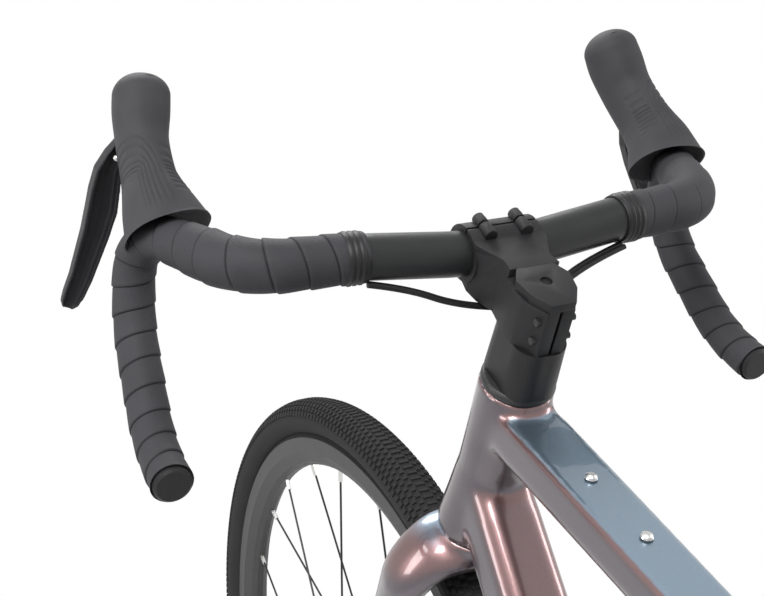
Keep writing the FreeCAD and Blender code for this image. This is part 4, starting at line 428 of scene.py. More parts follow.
def grain_group():
    """Shared fine grain as a bump normal, with soft patches of tone and gloss."""
    found = bpy.data.node_groups.get("FineGrain")
    if found:
        return found
    values = [(name, "Float") for name in ("Roughness", "Scale", "Depth", "Vary")]
    tree, start, end = new_group("FineGrain", [("Color", "Color")] + values,
                                 (("Color", "Color"), ("Roughness", "Float"), ("Normal", "Vector")))
    place = add_node(tree, "TexCoord")
    noise = add_node(tree, "TexNoise", {"Detail": 2.0})
    bump = add_node(tree, "Bump", {"Distance": 0.0004})
    patch = add_node(tree, "TexNoise", {"Scale": 45.0, "Detail": 4.0})
    swing = add_node(tree, "Math", {1: 0.5}, operation="SUBTRACT")
    share = add_node(tree, "Math", operation="MULTIPLY")
    tone = add_node(tree, "Math", {1: 4.0, 2: 1.0}, operation="MULTIPLY_ADD")
    shade = add_node(tree, "VectorMath", operation="SCALE")
    gloss = add_node(tree, "Math", {1: 1.6}, operation="MULTIPLY_ADD")
    connect(tree,
            (place, "Object", noise, "Vector"), (place, "Object", patch, "Vector"),
            (start, "Scale", noise, "Scale"), (noise, "Fac", bump, "Height"),
            (start, "Depth", bump, "Strength"), (patch, "Fac", swing, 0), (swing, "Value", share, 0),
            (start, "Vary", share, 1), (share, "Value", tone, 0), (start, "Color", shade, 0),
            (tone, "Value", shade, "Scale"), (share, "Value", gloss, 0), (start, "Roughness", gloss, 2),
            (shade, "Vector", end, "Color"), (gloss, "Value", end, "Roughness"),
            (bump, "Normal", end, "Normal"))
    return tree


def add_grain(tree, shader, values):
    """Puts the shared grain in a material, in front of its shader."""
    group = add_node(tree, "Group", values, node_tree=grain_group())
    connect(tree, (group, "Color", shader, "Base Color"), (group, "Roughness", shader, "Roughness"),
            (group, "Normal", shader, "Normal"))
    return group


def plain(name, colour, roughness, metallic=0.0, grain=0.15, scale=2500.0, specular=0.3):
    """A finish with a fine grain and slight changes of tone and gloss."""
    material, tree, shader = new_material(name)
    set_inputs(shader, {"Metallic": metallic, "Specular IOR Level": specular})
    add_grain(tree, shader, {"Color": (*colour, 1.0), "Roughness": roughness, "Scale": scale, "Depth": grain,
                             "Vary": FINISH_VARY})
    return material


def paint_and_light_group():
    """Colour that turns with the slope of the face, with fine flakes: the paint's colour shift with painted
    light in it, a lighter top, a copper painted highlight on the edges and painted shade under.
    """
    tree, start, end = new_group("ShiftPaintAndLight", [(name, "Color") for name in PAINT_FACES],
                                 (("Color", "Color"), ("Normal", "Vector")))
    geometry = add_node(tree, "NewGeometry")
    split = add_node(tree, "SeparateXYZ")
    connect(tree, (geometry, "Normal", split, "Vector"))
    # Side colour first, then the copper painted highlight on slopes, the lighter top and the painted shade
    # under
    colour = (start, "Side")
    for name, begin, full in PAINT_LIGHT_SLOPES:
        slope = add_node(tree, "MapRange", {"From Min": begin, "From Max": full},
                         interpolation_type="SMOOTHSTEP")
        mix = add_node(tree, "Mix", data_type="RGBA")
        connect(tree, (split, "Z", slope, "Value"), (slope, "Result", mix, "Factor"), (*colour, mix, "A"),
                (start, name, mix, "B"))
        colour = (mix, "Result")
    place = add_node(tree, "TexCoord")
    flake = add_node(tree, "TexVoronoi", {"Scale": 2600.0})
    spark = add_node(tree, "Mix", {"Factor": 0.14}, data_type="RGBA", blend_type="SOFT_LIGHT")
    bump = add_node(tree, "Bump", {"Distance": 0.0002, "Strength": 0.05})
    connect(tree, (place, "Object", flake, "Vector"), (*colour, spark, "A"), (flake, "Color", spark, "B"),
            (flake, "Distance", bump, "Height"), (spark, "Result", end, "Color"),
            (bump, "Normal", end, "Normal"))
    return tree


def make_paint():
    """Frame paint under a clear coat; its slope colours carry painted light and shade."""
    material, tree, shader = new_material("frame_paint")
    colours = {name: (*getattr(settings(), "paint_" + name.lower()), 1.0) for name in PAINT_FACES}
    group = add_node(tree, "Group", colours, node_tree=paint_and_light_group())
    connect(tree, (group, "Color", shader, "Base Color"), (group, "Normal", shader, "Normal"))
    set_inputs(shader, {"Metallic": 0.85, "Roughness": 0.32, "Coat Weight": 1.0, "Coat Roughness": 0.04})
    return material


def make_tape():
    """Soft wrap with painted shade darkening its seams."""
    material, tree, shader = new_material("bar_tape")
    # Painted shade: the seam attribute mixes the tape colour towards near-black
    mark = add_node(tree, "Attribute", attribute_name="seam_shade")
    colours = {"A": (*settings().tape_colour, 1.0), "B": SEAM_SHADE_COLOUR}
    colour = add_node(tree, "Mix", colours, data_type="RGBA")
    group = add_grain(tree, shader, {"Roughness": 0.62, "Scale": 900.0, "Depth": 0.7, "Vary": 0.12})
    connect(tree, (mark, "Fac", colour, "Factor"), (colour, "Result", group, "Color"))
    set_inputs(shader, {"Specular IOR Level": 0.14})
    return material


def make_materials():
    materials["paint"] = make_paint()
    materials["tape"] = make_tape()
    for key, name, colour, roughness, others in FINISHES:
        materials[key] = plain(name, colour, roughness, **others)


# Handlebar route and tape
def bar_route():
    """Points of the taped centre line from the inner tape edge to the drop end, in millimetres."""
    corners = [from_bar(spot) for spot in BAR_CORNERS]
    line = [corners[0]]
    for index in range(1, len(corners) - 1):
        corner = corners[index]
        back = (corners[index - 1] - corner).normalized()
        ahead = (corners[index + 1] - corner).normalized()
        half = back.angle(ahead) / 2
        radius = BAR_BENDS[index - 1]
        setback = radius / math.tan(half)
        bisector = (back + ahead).normalized()
        middle = corner + bisector * (radius / math.sin(half))
        first = corner + back * setback - middle
        last = corner + ahead * setback - middle
        turn = first.angle(last)
        axis = first.cross(last).normalized()
        count = max(6, int(radius * turn / BEND_STEP))
        for place in range(count + 1):
            spin = Quaternion(axis, turn * place / count)
            line.append(middle + spin @ first)
    line.append(corners[-1])
    return line


def resampled(line, step):
    """Evenly spaced points along a polyline, with the total length."""
    lengths = [0.0]
    for before, after in zip(line[:-1], line[1:]):
        lengths.append(lengths[-1] + (after - before).length)
    total = lengths[-1]
    count = int(total / step)
    spots = []
    at = 0
    for index in range(count + 1):
        reach = total * index / count
        while at < len(lengths) - 2 and lengths[at + 1] < reach:
            at += 1
        span = max(lengths[at + 1] - lengths[at], 1e-9)
        spots.append(line[at].lerp(line[at + 1], (reach - lengths[at]) / span))
    return spots, total


def carried(spots, across):
    """Point, sideways and upward direction along a polyline, without twist."""
    frames = []
    last = (spots[1] - spots[0]).normalized()
    across = (across - last * across.dot(last)).normalized()
    for index in range(len(spots)):
        way = (spots[min(index + 1, len(spots) - 1)] - spots[max(index - 1, 0)]).normalized()
        turn = last.rotation_difference(way)
        across = turn @ across
        last = way
        frames.append((spots[index], across.copy(), way.cross(across)))
    return frames


def bar_frames():
    """Frames along the taped bar, with its length."""
    spots, total = resampled(bar_route(), ROUTE_STEP)
    return carried(spots, BACK), total


def tape_radius(share):
    """Outside radius of the wrap along the bar, from the inner edge to the drop end."""
    for (low, first), (high, second) in zip(TAPE_RADII[:-1], TAPE_RADII[1:]):
        if share <= high:
            return first + (second - first) * (share - low) / (high - low)
    return TAPE_RADII[-1][1]


def tape_rows(step):
    """Rows of one turn as (share of the turn, height, painted shade of the seam)."""
    rows = [(0.0, -SEAM_DEPTH, 1.0)]
    for share in TAPE_SHARES:
        rows.append((share, step * min(share / TAPE_FULL, 1.0), SEAM_SHADE if share < SEAM_EDGE else 0.0))
    rows.append((TAPE_LAST, step * SEAM_LIFT, SEAM_SHADE))
    return rows


def tape_bmesh(side):
    """Helical wrap: each turn lies on the edge of the turn before it."""
    frames, total = bar_frames()
    pitch = size("tape_pitch")
    step = size("tape_step")
    turn_rows = tape_rows(step)
    bm = bmesh.new()
    layer = bm.verts.layers.float.new("seam_shade")
    lines = []
    turn = -1
    while turn * pitch < total + pitch:
        for share, rise, mark in turn_rows:
            line = []
            for index in range(TAPE_AROUND):
                angle = 2 * math.pi * index / TAPE_AROUND
                reach = min(max((turn + share + index / TAPE_AROUND) * pitch, 0.0), total)
                exact = reach / total * (len(frames) - 1)
                low = min(int(exact), len(frames) - 2)
                pairs = zip(frames[low], frames[low + 1])
                center, across, upward = [first.lerp(second, exact - low) for first, second in pairs]
                radius = tape_radius(reach / total) - step * 0.5 + rise
                spot = center + across * (radius * math.cos(angle)) + upward * (radius * math.sin(angle))
                spot.y *= side
                vert = bm.verts.new(spot * MM)
                # Strength of the painted shade at this row
                vert[layer] = mark
                line.append(vert)
            lines.append(line)
        turn += 1
    for index, (here, there) in enumerate(zip(lines[:-1], lines[1:])):
        for place in range(TAPE_AROUND - 1):
            bm.faces.new([here[place], here[place + 1], there[place + 1], there[place]])
        after = index + len(turn_rows)
        if after + 1 < len(lines):
            bm.faces.new([here[-1], lines[after][0], lines[after + 1][0], there[-1]])
    bmesh.ops.remove_doubles(bm, verts=bm.verts, dist=TAPE_WELD)
    bmesh.ops.dissolve_degenerate(bm, edges=bm.edges, dist=TAPE_WELD)
    return bm


def ridge_bmesh(side):
    """Finishing tape with three low ridges over the inner end of the wrap."""
    frames = bar_frames()[0]
    start, across = frames[0][:2]
    way = (frames[1][0] - start).normalized()
    spots = [(start + way * reach + across * radius) * MM for reach, radius in TAPE_RIDGES]
    bm = bmesh.new()
    spin_line(bm, spots, start * MM, way, TAPE_AROUND)
    if side < 0:
        bmesh.ops.scale(bm, vec=(1, -1, 1), verts=bm.verts)
    return bm


# Hoods and levers
def smooth_line(values, place):
    """Smooth value through evenly numbered stations."""
    last = len(values) - 1
    at = min(int(place), last - 1)
    part = place - at
    a = values[max(at - 1, 0)]
    b = values[at]
    c = values[at + 1]
    d = values[min(at + 2, last)]
    return 0.5 * (2 * b + (c - a) * part + (2 * a - 5 * b + 4 * c - d) * part ** 2
                  + (3 * b - a - 3 * c + d) * part ** 3)


def hood_bmesh(side):
    """Rubber hood: smooth lofted knob under a dome, with grooves on the flank and ribs on the inside."""
    columns = list(zip(*HOOD_STATIONS))
    spots = []
    sizes = []
    for index in range(HOOD_ROWS + 1):
        place = (len(HOOD_STATIONS) - 1) * index / HOOD_ROWS
        values = [smooth_line(column, place) for column in columns]
        spots.append(from_bar(values[:3]))
        sizes.append(values[3:])
    base = spots[-1]
    way = (base - spots[-2]).normalized()
    for index in range(1, HOOD_DOME_ROWS + 1):
        turn = math.pi / 2 * index / HOOD_DOME_ROWS
        spots.append(base + way * (HOOD_DOME * math.sin(turn)))
        sizes.append([value * max(math.cos(turn), HOOD_TIP) for value in sizes[HOOD_ROWS]])
    frames = carried(spots, LEFT)
    start = (spots[1] - spots[0]).normalized()
    rings = [(0, share, start * lift) for share, lift in HOOD_INSIDE]
    rings += [(index, 1.0, Vector()) for index in range(len(frames))]
    rows = []
    for index, share, lift in rings:
        center, across, upward = frames[index]
        center = center + lift
        rear, fore, wide = [value * share for value in sizes[index]]
        row = []
        for step in range(HOOD_AROUND):
            angle = 2 * math.pi * step / HOOD_AROUND
            cosine = math.cos(angle)
            sine = math.sin(angle)
            x = math.copysign(abs(cosine) ** HOOD_SQUARE, cosine)
            y = math.copysign(abs(sine) ** HOOD_SQUARE, sine)
            sink = hood_relief(index / HOOD_ROWS, angle)
            deep = (rear if sine > 0 else fore) - sink
            spot = center + across * (x * (wide - sink)) + upward * (y * deep)
            spot.y *= side
            row.append(spot * MM)
        rows.append(row)
    return capped_grid(rows)


def pulse(distance, half):
    return max(0.0, 1.0 - abs(distance) / half)


def faded(value, low, high, low_fade, high_fade):
    """One inside a span, falling to zero at its ends and below zero outside."""
    return min((value - low) / low_fade, (high - value) / high_fade, 1.0)


def hood_relief(run, angle):
    """Depth of the grooves, ribs and hem at a place on the hood, in millimetres."""
    sink = 0.0
    turn = (angle + math.pi) % (2 * math.pi) - math.pi
    along = max((run - GROOVE_RUN) / GROOVE_RUN_STEP, 0.0)
    round_side = max((turn - GROOVE_TURN) / GROOVE_TURN_STEP, 0.0)
    corner = (along ** 3 + round_side ** 3) ** (1 / 3)
    groove = min((run - GROOVE_START) / GROOVE_FADE, faded(turn, *GROOVE_ANGLES))
    if groove > 0 and GROOVE_FIRST < corner < GROOVE_LAST:
        sink = groove * pulse(corner % 1.0 - 0.5, GROOVE_HALF)
    rib = min(faded(run, *RIB_RUN), faded(turn, *RIB_ANGLES))
    if rib > 0:
        sink = rib * pulse((run * RIB_COUNT) % 1.0 - 0.5, RIB_HALF)
    if run < HEM_RUN:
        sink -= HEM_HEIGHT
    return sink


def lever_bmesh(side):
    """Blade with a hollow back, narrowing to its tip."""
    rings = []
    for index, (fore, left, rise, half, deep) in enumerate(LEVER_STATIONS):
        before = LEVER_STATIONS[max(index - 1, 0)]
        after = LEVER_STATIONS[min(index + 1, len(LEVER_STATIONS) - 1)]
        way = Vector([b - a for a, b in zip(before[:3], after[:3])]).normalized()
        ahead = (FORE - way * way.x).normalized()
        across = ahead.cross(way)
        center = Vector((fore, left, rise))
        ring = []
        for wide, reach in LEVER_SECTION:
            spot = center + across * (wide * half) + ahead * (reach * deep)
            ring.append(from_bar((spot.x, spot.y * side, spot.z)))
        rings.append(ring)
    return closed_loft(rings)


# Tyres
def tyre_profile():
    """Right half of the casing as (radius, offset) from crown to bead, in millimetres."""
    height = TYRE_RADIUS - RIM_RADIUS - size("knob_height")
    spots = []
    for index in range(CASING_STEPS + 1):
        angle = math.pi * 0.5 - index / CASING_STEPS * math.pi * CASING_SWEEP
        rise = height * (CASING_MIDDLE + CASING_BULGE * math.sin(angle))
        spots.append((RIM_RADIUS + rise, CASING_HALF * math.cos(angle)))
    spots.extend((RIM_RADIUS + rise, offset) for rise, offset in CASING_BEAD)
    return spots


def profile_place(spots, reach):
    """Point and outward direction at a distance from the crown along the casing."""
    for before, after in zip(spots[:-1], spots[1:]):
        span = math.hypot(after[0] - before[0], after[1] - before[1])
        if reach <= span:
            part = reach / span
            way = ((after[0] - before[0]) / span, (after[1] - before[1]) / span)
            spot = (before[0] + (after[0] - before[0]) * part, before[1] + (after[1] - before[1]) * part)
            return spot, (way[1], -way[0])
        reach -= span
    return spots[-1], (1.0, 0.0)


def wheel_spot(center, radius, turn, side):
    """Point on a wheel, in metres."""
    spot = Vector((center.x + radius * math.cos(turn), center.y + side, center.z + radius * math.sin(turn)))
    return spot * MM


def add_knob(bm, center, half, reach, side, turn, wide, long, tall):
    """Block on the casing, a little narrower at its top."""
    for vert in bmesh.ops.create_cube(bm, size=2.0)["verts"]:
        lateral, along, level = (round(value) for value in vert.co)
        shrink = KNOB_TAPER if level > 0 else 1.0
        height = tall if level > 0 else -KNOB_ROOT
        place = reach + wide / 2 * shrink * lateral
        mirror = side if place >= 0 else -side
        spot, out = profile_place(half, abs(place))
        radius = spot[0] + out[0] * height
        offset = (spot[1] + out[1] * height) * mirror
        vert.co = wheel_spot(center, radius, turn + long / 2 * shrink * along / radius, offset)


def tyre_bmesh(center):
    """Casing spun from its profile, with rows of tread blocks."""
    bm = bmesh.new()
    half = tyre_profile()
    ring = [(radius, -side) for radius, side in reversed(half[1:])] + half
    spots = [wheel_spot(center, radius, 0.0, side) for radius, side in ring]
    spin_line(bm, spots, center * MM, LEFT, CASING_TURNS)
    height = size("knob_height")
    per_row = int(2 * math.pi * TYRE_RADIUS / size("knob_pitch"))
    for reach, wide, long, stagger, tall in KNOB_ROWS:
        for side in ((1,) if reach == 0 else (1, -1)):
            for index in range(per_row):
                turn = 2 * math.pi * (index + stagger) / per_row
                add_knob(bm, center, half, reach, side, turn, wide, long, height * tall)
    return bm


# Skins
def panel_ring(center, across, upward, width, height, top_round, low_round):
    """Ring of points of a section with round corners."""
    ring = []
    corners = ((1, 1, top_round, 0), (-1, 1, top_round, 1), (-1, -1, low_round, 2), (1, -1, low_round, 3))
    for side, level, bend, quarter in corners:
        middle = center + across * (side * (width / 2 - bend)) + upward * (level * (height / 2 - bend))
        for step in range(CORNER_STEPS + 1):
            turn = math.pi / 2 * (quarter + step / CORNER_STEPS)
            ring.append(middle + across * (bend * math.cos(turn)) + upward * (bend * math.sin(turn)))
    return ring


def closed_loft(rings):
    """Closed solid through rings of points."""
    bm = bmesh.new()
    loops = []
    for ring in rings:
        line = [bm.verts.new(spot * MM) for spot in ring]
        loops.append([bm.edges.new(pair) for pair in zip(line, line[1:] + line[:1])])
    for here, there in zip(loops[:-1], loops[1:]):
        bmesh.ops.bridge_loops(bm, edges=here + there)
    bmesh.ops.holes_fill(bm, edges=bm.edges)
    bmesh.ops.recalc_face_normals(bm, faces=bm.faces)
    return bm


def turned_solid(base, way, outline):
    """Closed solid of revolution from (height, radius) pairs."""
    across = LEFT if abs(way.y) < 0.9 else FORE
    across = (across - way * across.dot(way)).normalized()
    upward = way.cross(across)
    turns = [2 * math.pi * index / RING_COUNT for index in range(RING_COUNT)]
    rings = []
    for height, radius in outline:
        center = base + way * height
        rings.append([center + across * (radius * math.cos(turn)) + upward * (radius * math.sin(turn))
                      for turn in turns])
    return closed_loft(rings)


def apply_modifiers(piece):
    graph = bpy.context.evaluated_depsgraph_get()
    mesh = bpy.data.meshes.new_from_object(piece.evaluated_get(graph))
    old = piece.data
    piece.modifiers.clear()
    piece.data = mesh
    bpy.data.meshes.remove(old)


def skin(name, sources, voxel, blur, rounds, body, finish, nodes, slot):
    """One smooth skin over closed meshes, each with its own least smoothing, and fillets where they meet."""
    trees = []
    whole = bmesh.new()
    for bm, least in sources:
        trees.append((BVHTree.FromBMesh(bm), least))
        mesh = bpy.data.meshes.new("source")
        bm.to_mesh(mesh)
        whole.from_mesh(mesh)
        bpy.data.meshes.remove(mesh)
        bm.free()
    piece = new_piece(name, whole, body, finish, nodes)
    remesh = piece.modifiers.new("voxels", "REMESH")
    remesh.mode = "VOXEL"
    remesh.voxel_size = voxel * MM
    apply_modifiers(piece)
    near = piece.vertex_groups.new(name="joints")
    for vert in piece.data.vertices:
        gaps = sorted((tree.find_nearest(vert.co)[3] or 0.0, least) for tree, least in trees)
        weight = max(0.0, 1.0 - gaps[1][0] / (blur * MM)) if len(gaps) > 1 else 0.0
        near.add([vert.index], max(gaps[0][1], min(1.0, weight * FILLET_GAIN)), "REPLACE")
    smooth = piece.modifiers.new("fillets", "SMOOTH")
    smooth.factor = 0.5
    smooth.iterations = rounds
    smooth.vertex_group = "joints"
    apply_modifiers(piece)
    piece.data.shade_smooth()
    return piece


def frame_sources():
    """Tubes of the frame, its stays and dropouts, each with its least smoothing."""
    head = turned_solid(CROWN, STEER_UP, HEAD_OUTLINE)
    way = Vector((-math.cos(TOP_SLOPE), 0, -math.sin(TOP_SLOPE)))
    normal = Vector((-math.sin(TOP_SLOPE), 0, math.cos(TOP_SLOPE)))
    start = HEAD_TOP - STEER_UP * TOP_DROP
    top = []
    for share, width, height in TOP_RINGS:
        middle = start + way * (TOP_REACH * share) - normal * (height / 2)
        top.append(panel_ring(middle, LEFT, normal, width, height, *TOP_ROUNDS))
    start = CROWN + STEER_UP * DOWN_START
    run = SHELL - start
    normal = LEFT.cross(run.normalized())
    down = []
    for share, width, height in DOWN_RINGS:
        down.append(panel_ring(start + run * share, LEFT, normal, width, height, *DOWN_ROUNDS))
    seat = turned_solid(SHELL, SEAT_UP, SEAT_OUTLINE)
    shell = turned_solid(SHELL - LEFT * SHELL_HALF, LEFT, SHELL_OUTLINE)
    sources = [(tube, LEAST["tube"]) for tube in (head, closed_loft(top), closed_loft(down), seat, shell)]
    sources.append((node_bmesh("rear_stays"), LEAST["stays"]))
    sources.append((node_bmesh("dropouts"), LEAST["dropouts"]))
    return sources


def fork_sources():
    """Blades and crown below the lower bearing, and the steerer above it."""
    blades = cut_node("fork", CROWN - STEER_UP * FORK_CUT, STEER_UP, False)
    steerer = turned_solid(CROWN, STEER_UP, STEERER_OUTLINE)
    return [(blades, LEAST["blades"]), (steerer, LEAST["steerer"])]


# Hoses
def hose_curve(name, side, back, radius):
    """Hose on one smooth spline, with its length."""
    curve = bpy.data.curves.new(name, "CURVE")
    curve.dimensions = "3D"
    curve.resolution_u = 24
    spline = curve.splines.new("NURBS")
    spline.points.add(len(HOSE_ROUTE) - 1)
    for point, (fore, left, rise) in zip(spline.points, HOSE_ROUTE):
        point.co = (*(from_bar((fore - back, left * side, rise)) * MM), 1.0)
    spline.order_u = 3
    spline.use_endpoint_u = True
    piece = new_object(name, curve)
    graph = bpy.context.evaluated_depsgraph_get()
    line = bpy.data.meshes.new_from_object(piece.evaluated_get(graph))
    length = 0
    for first, second in (edge.vertices for edge in line.edges):
        length += (line.vertices[first].co - line.vertices[second].co).length
    bpy.data.meshes.remove(line)
    curve.bevel_depth = radius * MM
    curve.bevel_resolution = 4
    curve.use_fill_caps = True
    return piece, length


# Stage
def seen_rays(tree):
    """Node whose value is one where a ray comes from the camera, a reflection or a clear body."""
    path = add_node(tree, "LightPath")
    mirrored = add_node(tree, "Math", operation="MAXIMUM")
    either = add_node(tree, "Math", operation="MAXIMUM")
    connect(tree, (path, "Is Glossy Ray", mirrored, 0), (path, "Is Transmission Ray", mirrored, 1),
            (path, "Is Camera Ray", either, 0), (mirrored, "Value", either, 1))
    return either


def build_floor():
    """White floor that fades into the surround."""
    bm = bmesh.new()
    bm.faces.new([bm.verts.new((x * FLOOR_HALF, y * FLOOR_HALF, 0)) for x, y in FLOOR_CORNERS])
    mesh = bpy.data.meshes.new("floor")
    bm.to_mesh(mesh)
    bm.free()
    floor = new_object("floor", mesh)
    material, tree, shader = new_material("floor_white")
    set_inputs(shader, {"Base Color": FLOOR_COLOUR, "Roughness": 0.9})
    glow = add_node(tree, "Emission", {"Color": WHITE})
    mix = add_node(tree, "MixShader")
    place = add_node(tree, "NewGeometry")
    distance = add_node(tree, "VectorMath", operation="LENGTH")
    far = add_node(tree, "MapRange", FLOOR_FADE, interpolation_type="SMOOTHSTEP")
    both = add_node(tree, "Math", operation="MULTIPLY")
    seen = seen_rays(tree)
    connect(tree, (place, "Position", distance, 0), (distance, "Value", far, "Value"),
            (far, "Result", both, 0), (seen, "Value", both, 1), (both, "Value", mix, "Fac"),
            (shader, "BSDF", mix, 1), (glow, "Emission", mix, 2),
            (mix, "Shader", tree.nodes["Material Output"], "Surface"))
    mesh.materials.append(material)


def build_lights():
    for name, place, (width, height), share in LAMPS:
        lamp = bpy.data.lights.new(name, "AREA")
        lamp.shape = "RECTANGLE"
        lamp.size = width
        lamp.size_y = height
        lamp.energy = settings().key_energy * share
        thing = new_object(name, lamp)
        thing.location = place
        thing.rotation_mode = "QUATERNION"
        thing.rotation_quaternion = (LAMP_AIM - Vector(place)).to_track_quat("-Z", "Y")


def build_world():
    """White where it is seen, and a softer light from above for the rest."""
    world = bpy.data.worlds.new("studio")
    bpy.context.scene.world = world
    world.use_nodes = True
    tree = world.node_tree
    tree.nodes.clear()
    out = add_node(tree, "OutputWorld")
    seen = add_node(tree, "Background", {"Color": WHITE})
    fill = add_node(tree, "Background", {"Strength": settings().world_strength})
    place = add_node(tree, "TexCoord")
    split = add_node(tree, "SeparateXYZ")
    ramp = add_node(tree, "MapRange", SKY_FADE)
    tint = add_node(tree, "CombineColor")
    mix = add_node(tree, "MixShader")
    connect(tree, (place, "Generated", split, "Vector"), (split, "Z", ramp, "Value"),
            (ramp, "Result", tint, "Red"), (ramp, "Result", tint, "Green"), (ramp, "Result", tint, "Blue"),
            (tint, "Color", fill, "Color"), (seen_rays(tree), "Value", mix, "Fac"),
            (fill, "Background", mix, 1), (seen, "Background", mix, 2), (mix, "Shader", out, "Surface"))


def build_camera():
    """Camera at the place that the picture was taken from."""
    scene = bpy.context.scene
    lens = bpy.data.cameras.new("photo_camera")
    lens.sensor_width = SENSOR_WIDTH
    lens.lens = SENSOR_WIDTH * PICTURE_FOCUS / PICTURE_WIDTH
    lens.clip_start = 0.05
    lens.clip_end = 100.0
    lens.dof.use_dof = False
    camera = new_object("photo_camera", lens)
    forward = CAMERA_FORWARD.normalized()
    right = (CAMERA_RIGHT - forward * CAMERA_RIGHT.dot(forward)).normalized()
    upward = right.cross(forward)
    turn = Matrix((right, upward, -forward)).transposed()
    camera.matrix_world = Matrix.Translation(CAMERA_PLACE) @ turn.to_4x4()
    scene.camera = camera
    scene.view_settings.view_transform = "Standard"
    scene.view_settings.look = "None"


# Operators
class BuildMaterials(bpy.types.Operator):
    """Finishes, and the CAD nodes that are shown as they are"""
    bl_idname = "gravel_bike.materials"
    bl_label = "Finishes"

    def execute(self, context):
        make_materials()
        for finish, names in DRESSED.items():
            dress(names, finish)
        return {"FINISHED"}


class BuildSpokes(bpy.types.Operator):
    """Black spokes with bright nipples"""
    bl_idname = "gravel_bike.spokes"
    bl_label = "Spokes"

    def execute(self, context):
        for name, center in WHEELS:
            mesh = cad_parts[name + "_spokes"].data
            mesh.materials.clear()
            mesh.materials.append(materials["spoke"])
            mesh.materials.append(materials["nipple"])
            for face in mesh.polygons:
                place = face.center / MM
                reach = math.hypot(place.x - center.x, place.z - center.z)
                face.material_index = 1 if reach > NIPPLE_REACH else 0
            mesh.shade_smooth()
            mesh.set_sharp_from_angle(angle=SPOKE_SHARP_ANGLE)
        return {"FINISHED"}


class BuildTape(bpy.types.Operator):
    """Wrapped tape and finishing tape"""
    bl_idname = "gravel_bike.tape"
    bl_label = "Bar tape"

    def execute(self, context):
        for hand, side in HANDS:
            new_piece("tape_" + hand, tape_bmesh(side), "steering", "tape", ("bar_tape",))
            new_piece("tape_finish_" + hand, ridge_bmesh(side), "steering", "finish_tape", ())
        return {"FINISHED"}


class BuildHoods(bpy.types.Operator):
    """Rubber lever hoods with the ends of the pivot pins"""
    bl_idname = "gravel_bike.hoods"
    bl_label = "Lever hoods"

    def execute(self, context):
        fore, left, rise = PIN_END
        for hand, side in HANDS:
            new_piece("hood_" + hand, hood_bmesh(side), "steering", "hood", ("hoods",))
            pin = bmesh.new()
            bmesh.ops.create_uvsphere(pin, u_segments=24, v_segments=12, radius=PIN_RADIUS * MM)
            bmesh.ops.translate(pin, vec=from_bar((fore, left * side, rise)) * MM, verts=pin.verts)
            new_piece("pivot_end_" + hand, pin, "steering", "steel", ())
        return {"FINISHED"}


class BuildLevers(bpy.types.Operator):
    """Brake levers as moulded channels on their pivots"""
    bl_idname = "gravel_bike.levers"
    bl_label = "Levers"

    def execute(self, context):
        for hand, side in HANDS:
            node = "brake_lever_" + hand
            root = cut_node(node, from_bar(LEVER_CUT), UP, True)
            sources = [(root, LEAST["lever_root"]), (lever_bmesh(side), LEAST["lever"])]
            skin("lever_blade_" + hand, sources, *LEVER_SKIN, "lever_" + hand, "lever", (node,),
                 "lever_grey")
        return {"FINISHED"}


class BuildTyres(bpy.types.Operator):
    """Tyres with tread blocks"""
    bl_idname = "gravel_bike.tyres"
    bl_label = "Tyres"

    def execute(self, context):
        for name, center in WHEELS:
            piece = new_piece(name + "_tread", tyre_bmesh(center), name + "_wheel", "tyre", (name + "_tyre",))
            piece.data.set_sharp_from_angle(angle=SHARP_ANGLE)
        return {"FINISHED"}


class BuildFrameSkin(bpy.types.Operator):
    """Painted frame and fork"""
    bl_idname = "gravel_bike.frame_skin"
    bl_label = "Frame skin"

    def execute(self, context):
        for name, sources, body, nodes in (("fork_skin", fork_sources(), "steering", ("fork",)),
                                           ("frame_skin", frame_sources(), "frame", FRAME_NODES)):
            skin(name, sources, size("skin_voxel"), *FRAME_FILLETS, body, "paint", nodes, "frame_paint")
        return {"FINISHED"}


class BuildStem(bpy.types.Operator):
    """Stem pieces with rounded edges"""
    bl_idname = "gravel_bike.stem"
    bl_label = "Stem"

    def execute(self, context):
        for name in ("stem", "stem_cap", "stem_faceplate"):
            softened(name, "stem", "steering")
        return {"FINISHED"}


class BuildSmallParts(bpy.types.Operator):
    """Machined pieces with rounded edges"""
    bl_idname = "gravel_bike.small_parts"
    bl_label = "Machined pieces"

    def execute(self, context):
        for name, body in MACHINED.items():
            softened(name, "alloy", body)
        return {"FINISHED"}


class BuildSaddle(bpy.types.Operator):
    """Padded saddle cover"""
    bl_idname = "gravel_bike.saddle"
    bl_label = "Saddle"

    def execute(self, context):
        sources = [(node_bmesh("saddle"), LEAST["saddle"])]
        piece = skin("saddle_pad", sources, *SADDLE_SKIN, "seat", "cover", ("saddle",), "saddle_cover")
        return {"FINISHED"}


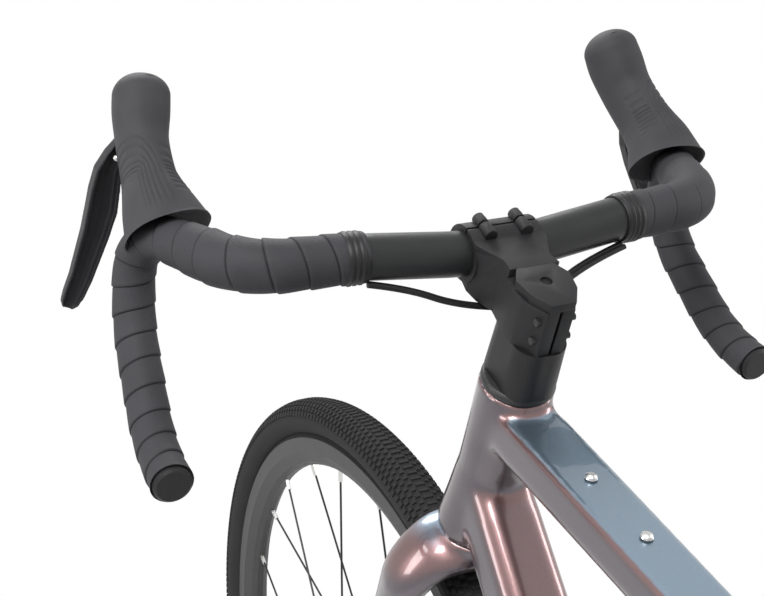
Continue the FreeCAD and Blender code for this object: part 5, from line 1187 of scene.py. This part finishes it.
class BuildHoses(bpy.types.Operator):
    """Brake hoses and gear cable below the bar"""
    bl_idname = "gravel_bike.hoses"
    bl_label = "Hoses"

    def execute(self, context):
        for name, side, back, radius in HOSES:
            piece, length = hose_curve(name, side, back, radius)
            piece.data.materials.append(materials["hose"])
            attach(piece, "steering")
            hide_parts("brake_hoses")
        return {"FINISHED"}


class BuildStage(bpy.types.Operator):
    """Floor, lamps, world and camera"""
    bl_idname = "gravel_bike.stage"
    bl_label = "Stage"

    def execute(self, context):
        build_floor()
        build_lights()
        build_world()
        build_camera()
        return {"FINISHED"}


class GravelBikePanel(bpy.types.Panel):
    """Settings and build steps"""
    bl_label = "Gravel bike"
    bl_idname = "VIEW3D_PT_gravel_bike"
    bl_space_type = "VIEW_3D"
    bl_region_type = "UI"
    bl_category = "Gravel bike"

    def draw(self, context):
        column = self.layout.column()
        for name in GravelBikeSettings.__annotations__:
            column.prop(context.scene.gravel_bike, name)
        for operator in operators:
            column.operator(operator.bl_idname)


operators = (BuildMaterials, BuildStage, BuildHoses, BuildSpokes, BuildTape, BuildHoods, BuildLevers,
             BuildTyres, BuildFrameSkin, BuildStem, BuildSmallParts, BuildSaddle)
classes = (GravelBikeSettings,) + operators + (GravelBikePanel,)


def register():
    for item in classes:
        bpy.utils.register_class(item)
    bpy.types.Scene.gravel_bike = bpy.props.PointerProperty(type=GravelBikeSettings)


def unregister():
    del bpy.types.Scene.gravel_bike
    for item in reversed(classes):
        bpy.utils.unregister_class(item)


def main():
    register()
    bpy.ops.gravel_bike.materials()
    bpy.ops.gravel_bike.stage()
    bpy.ops.gravel_bike.hoses()
    bpy.ops.gravel_bike.spokes()
    bpy.ops.gravel_bike.tape()
    bpy.ops.gravel_bike.hoods()
    bpy.ops.gravel_bike.levers()
    bpy.ops.gravel_bike.tyres()
    bpy.ops.gravel_bike.frame_skin()
    bpy.ops.gravel_bike.stem()
    bpy.ops.gravel_bike.small_parts()
    bpy.ops.gravel_bike.saddle()


if __name__ == "__main__":
    main()
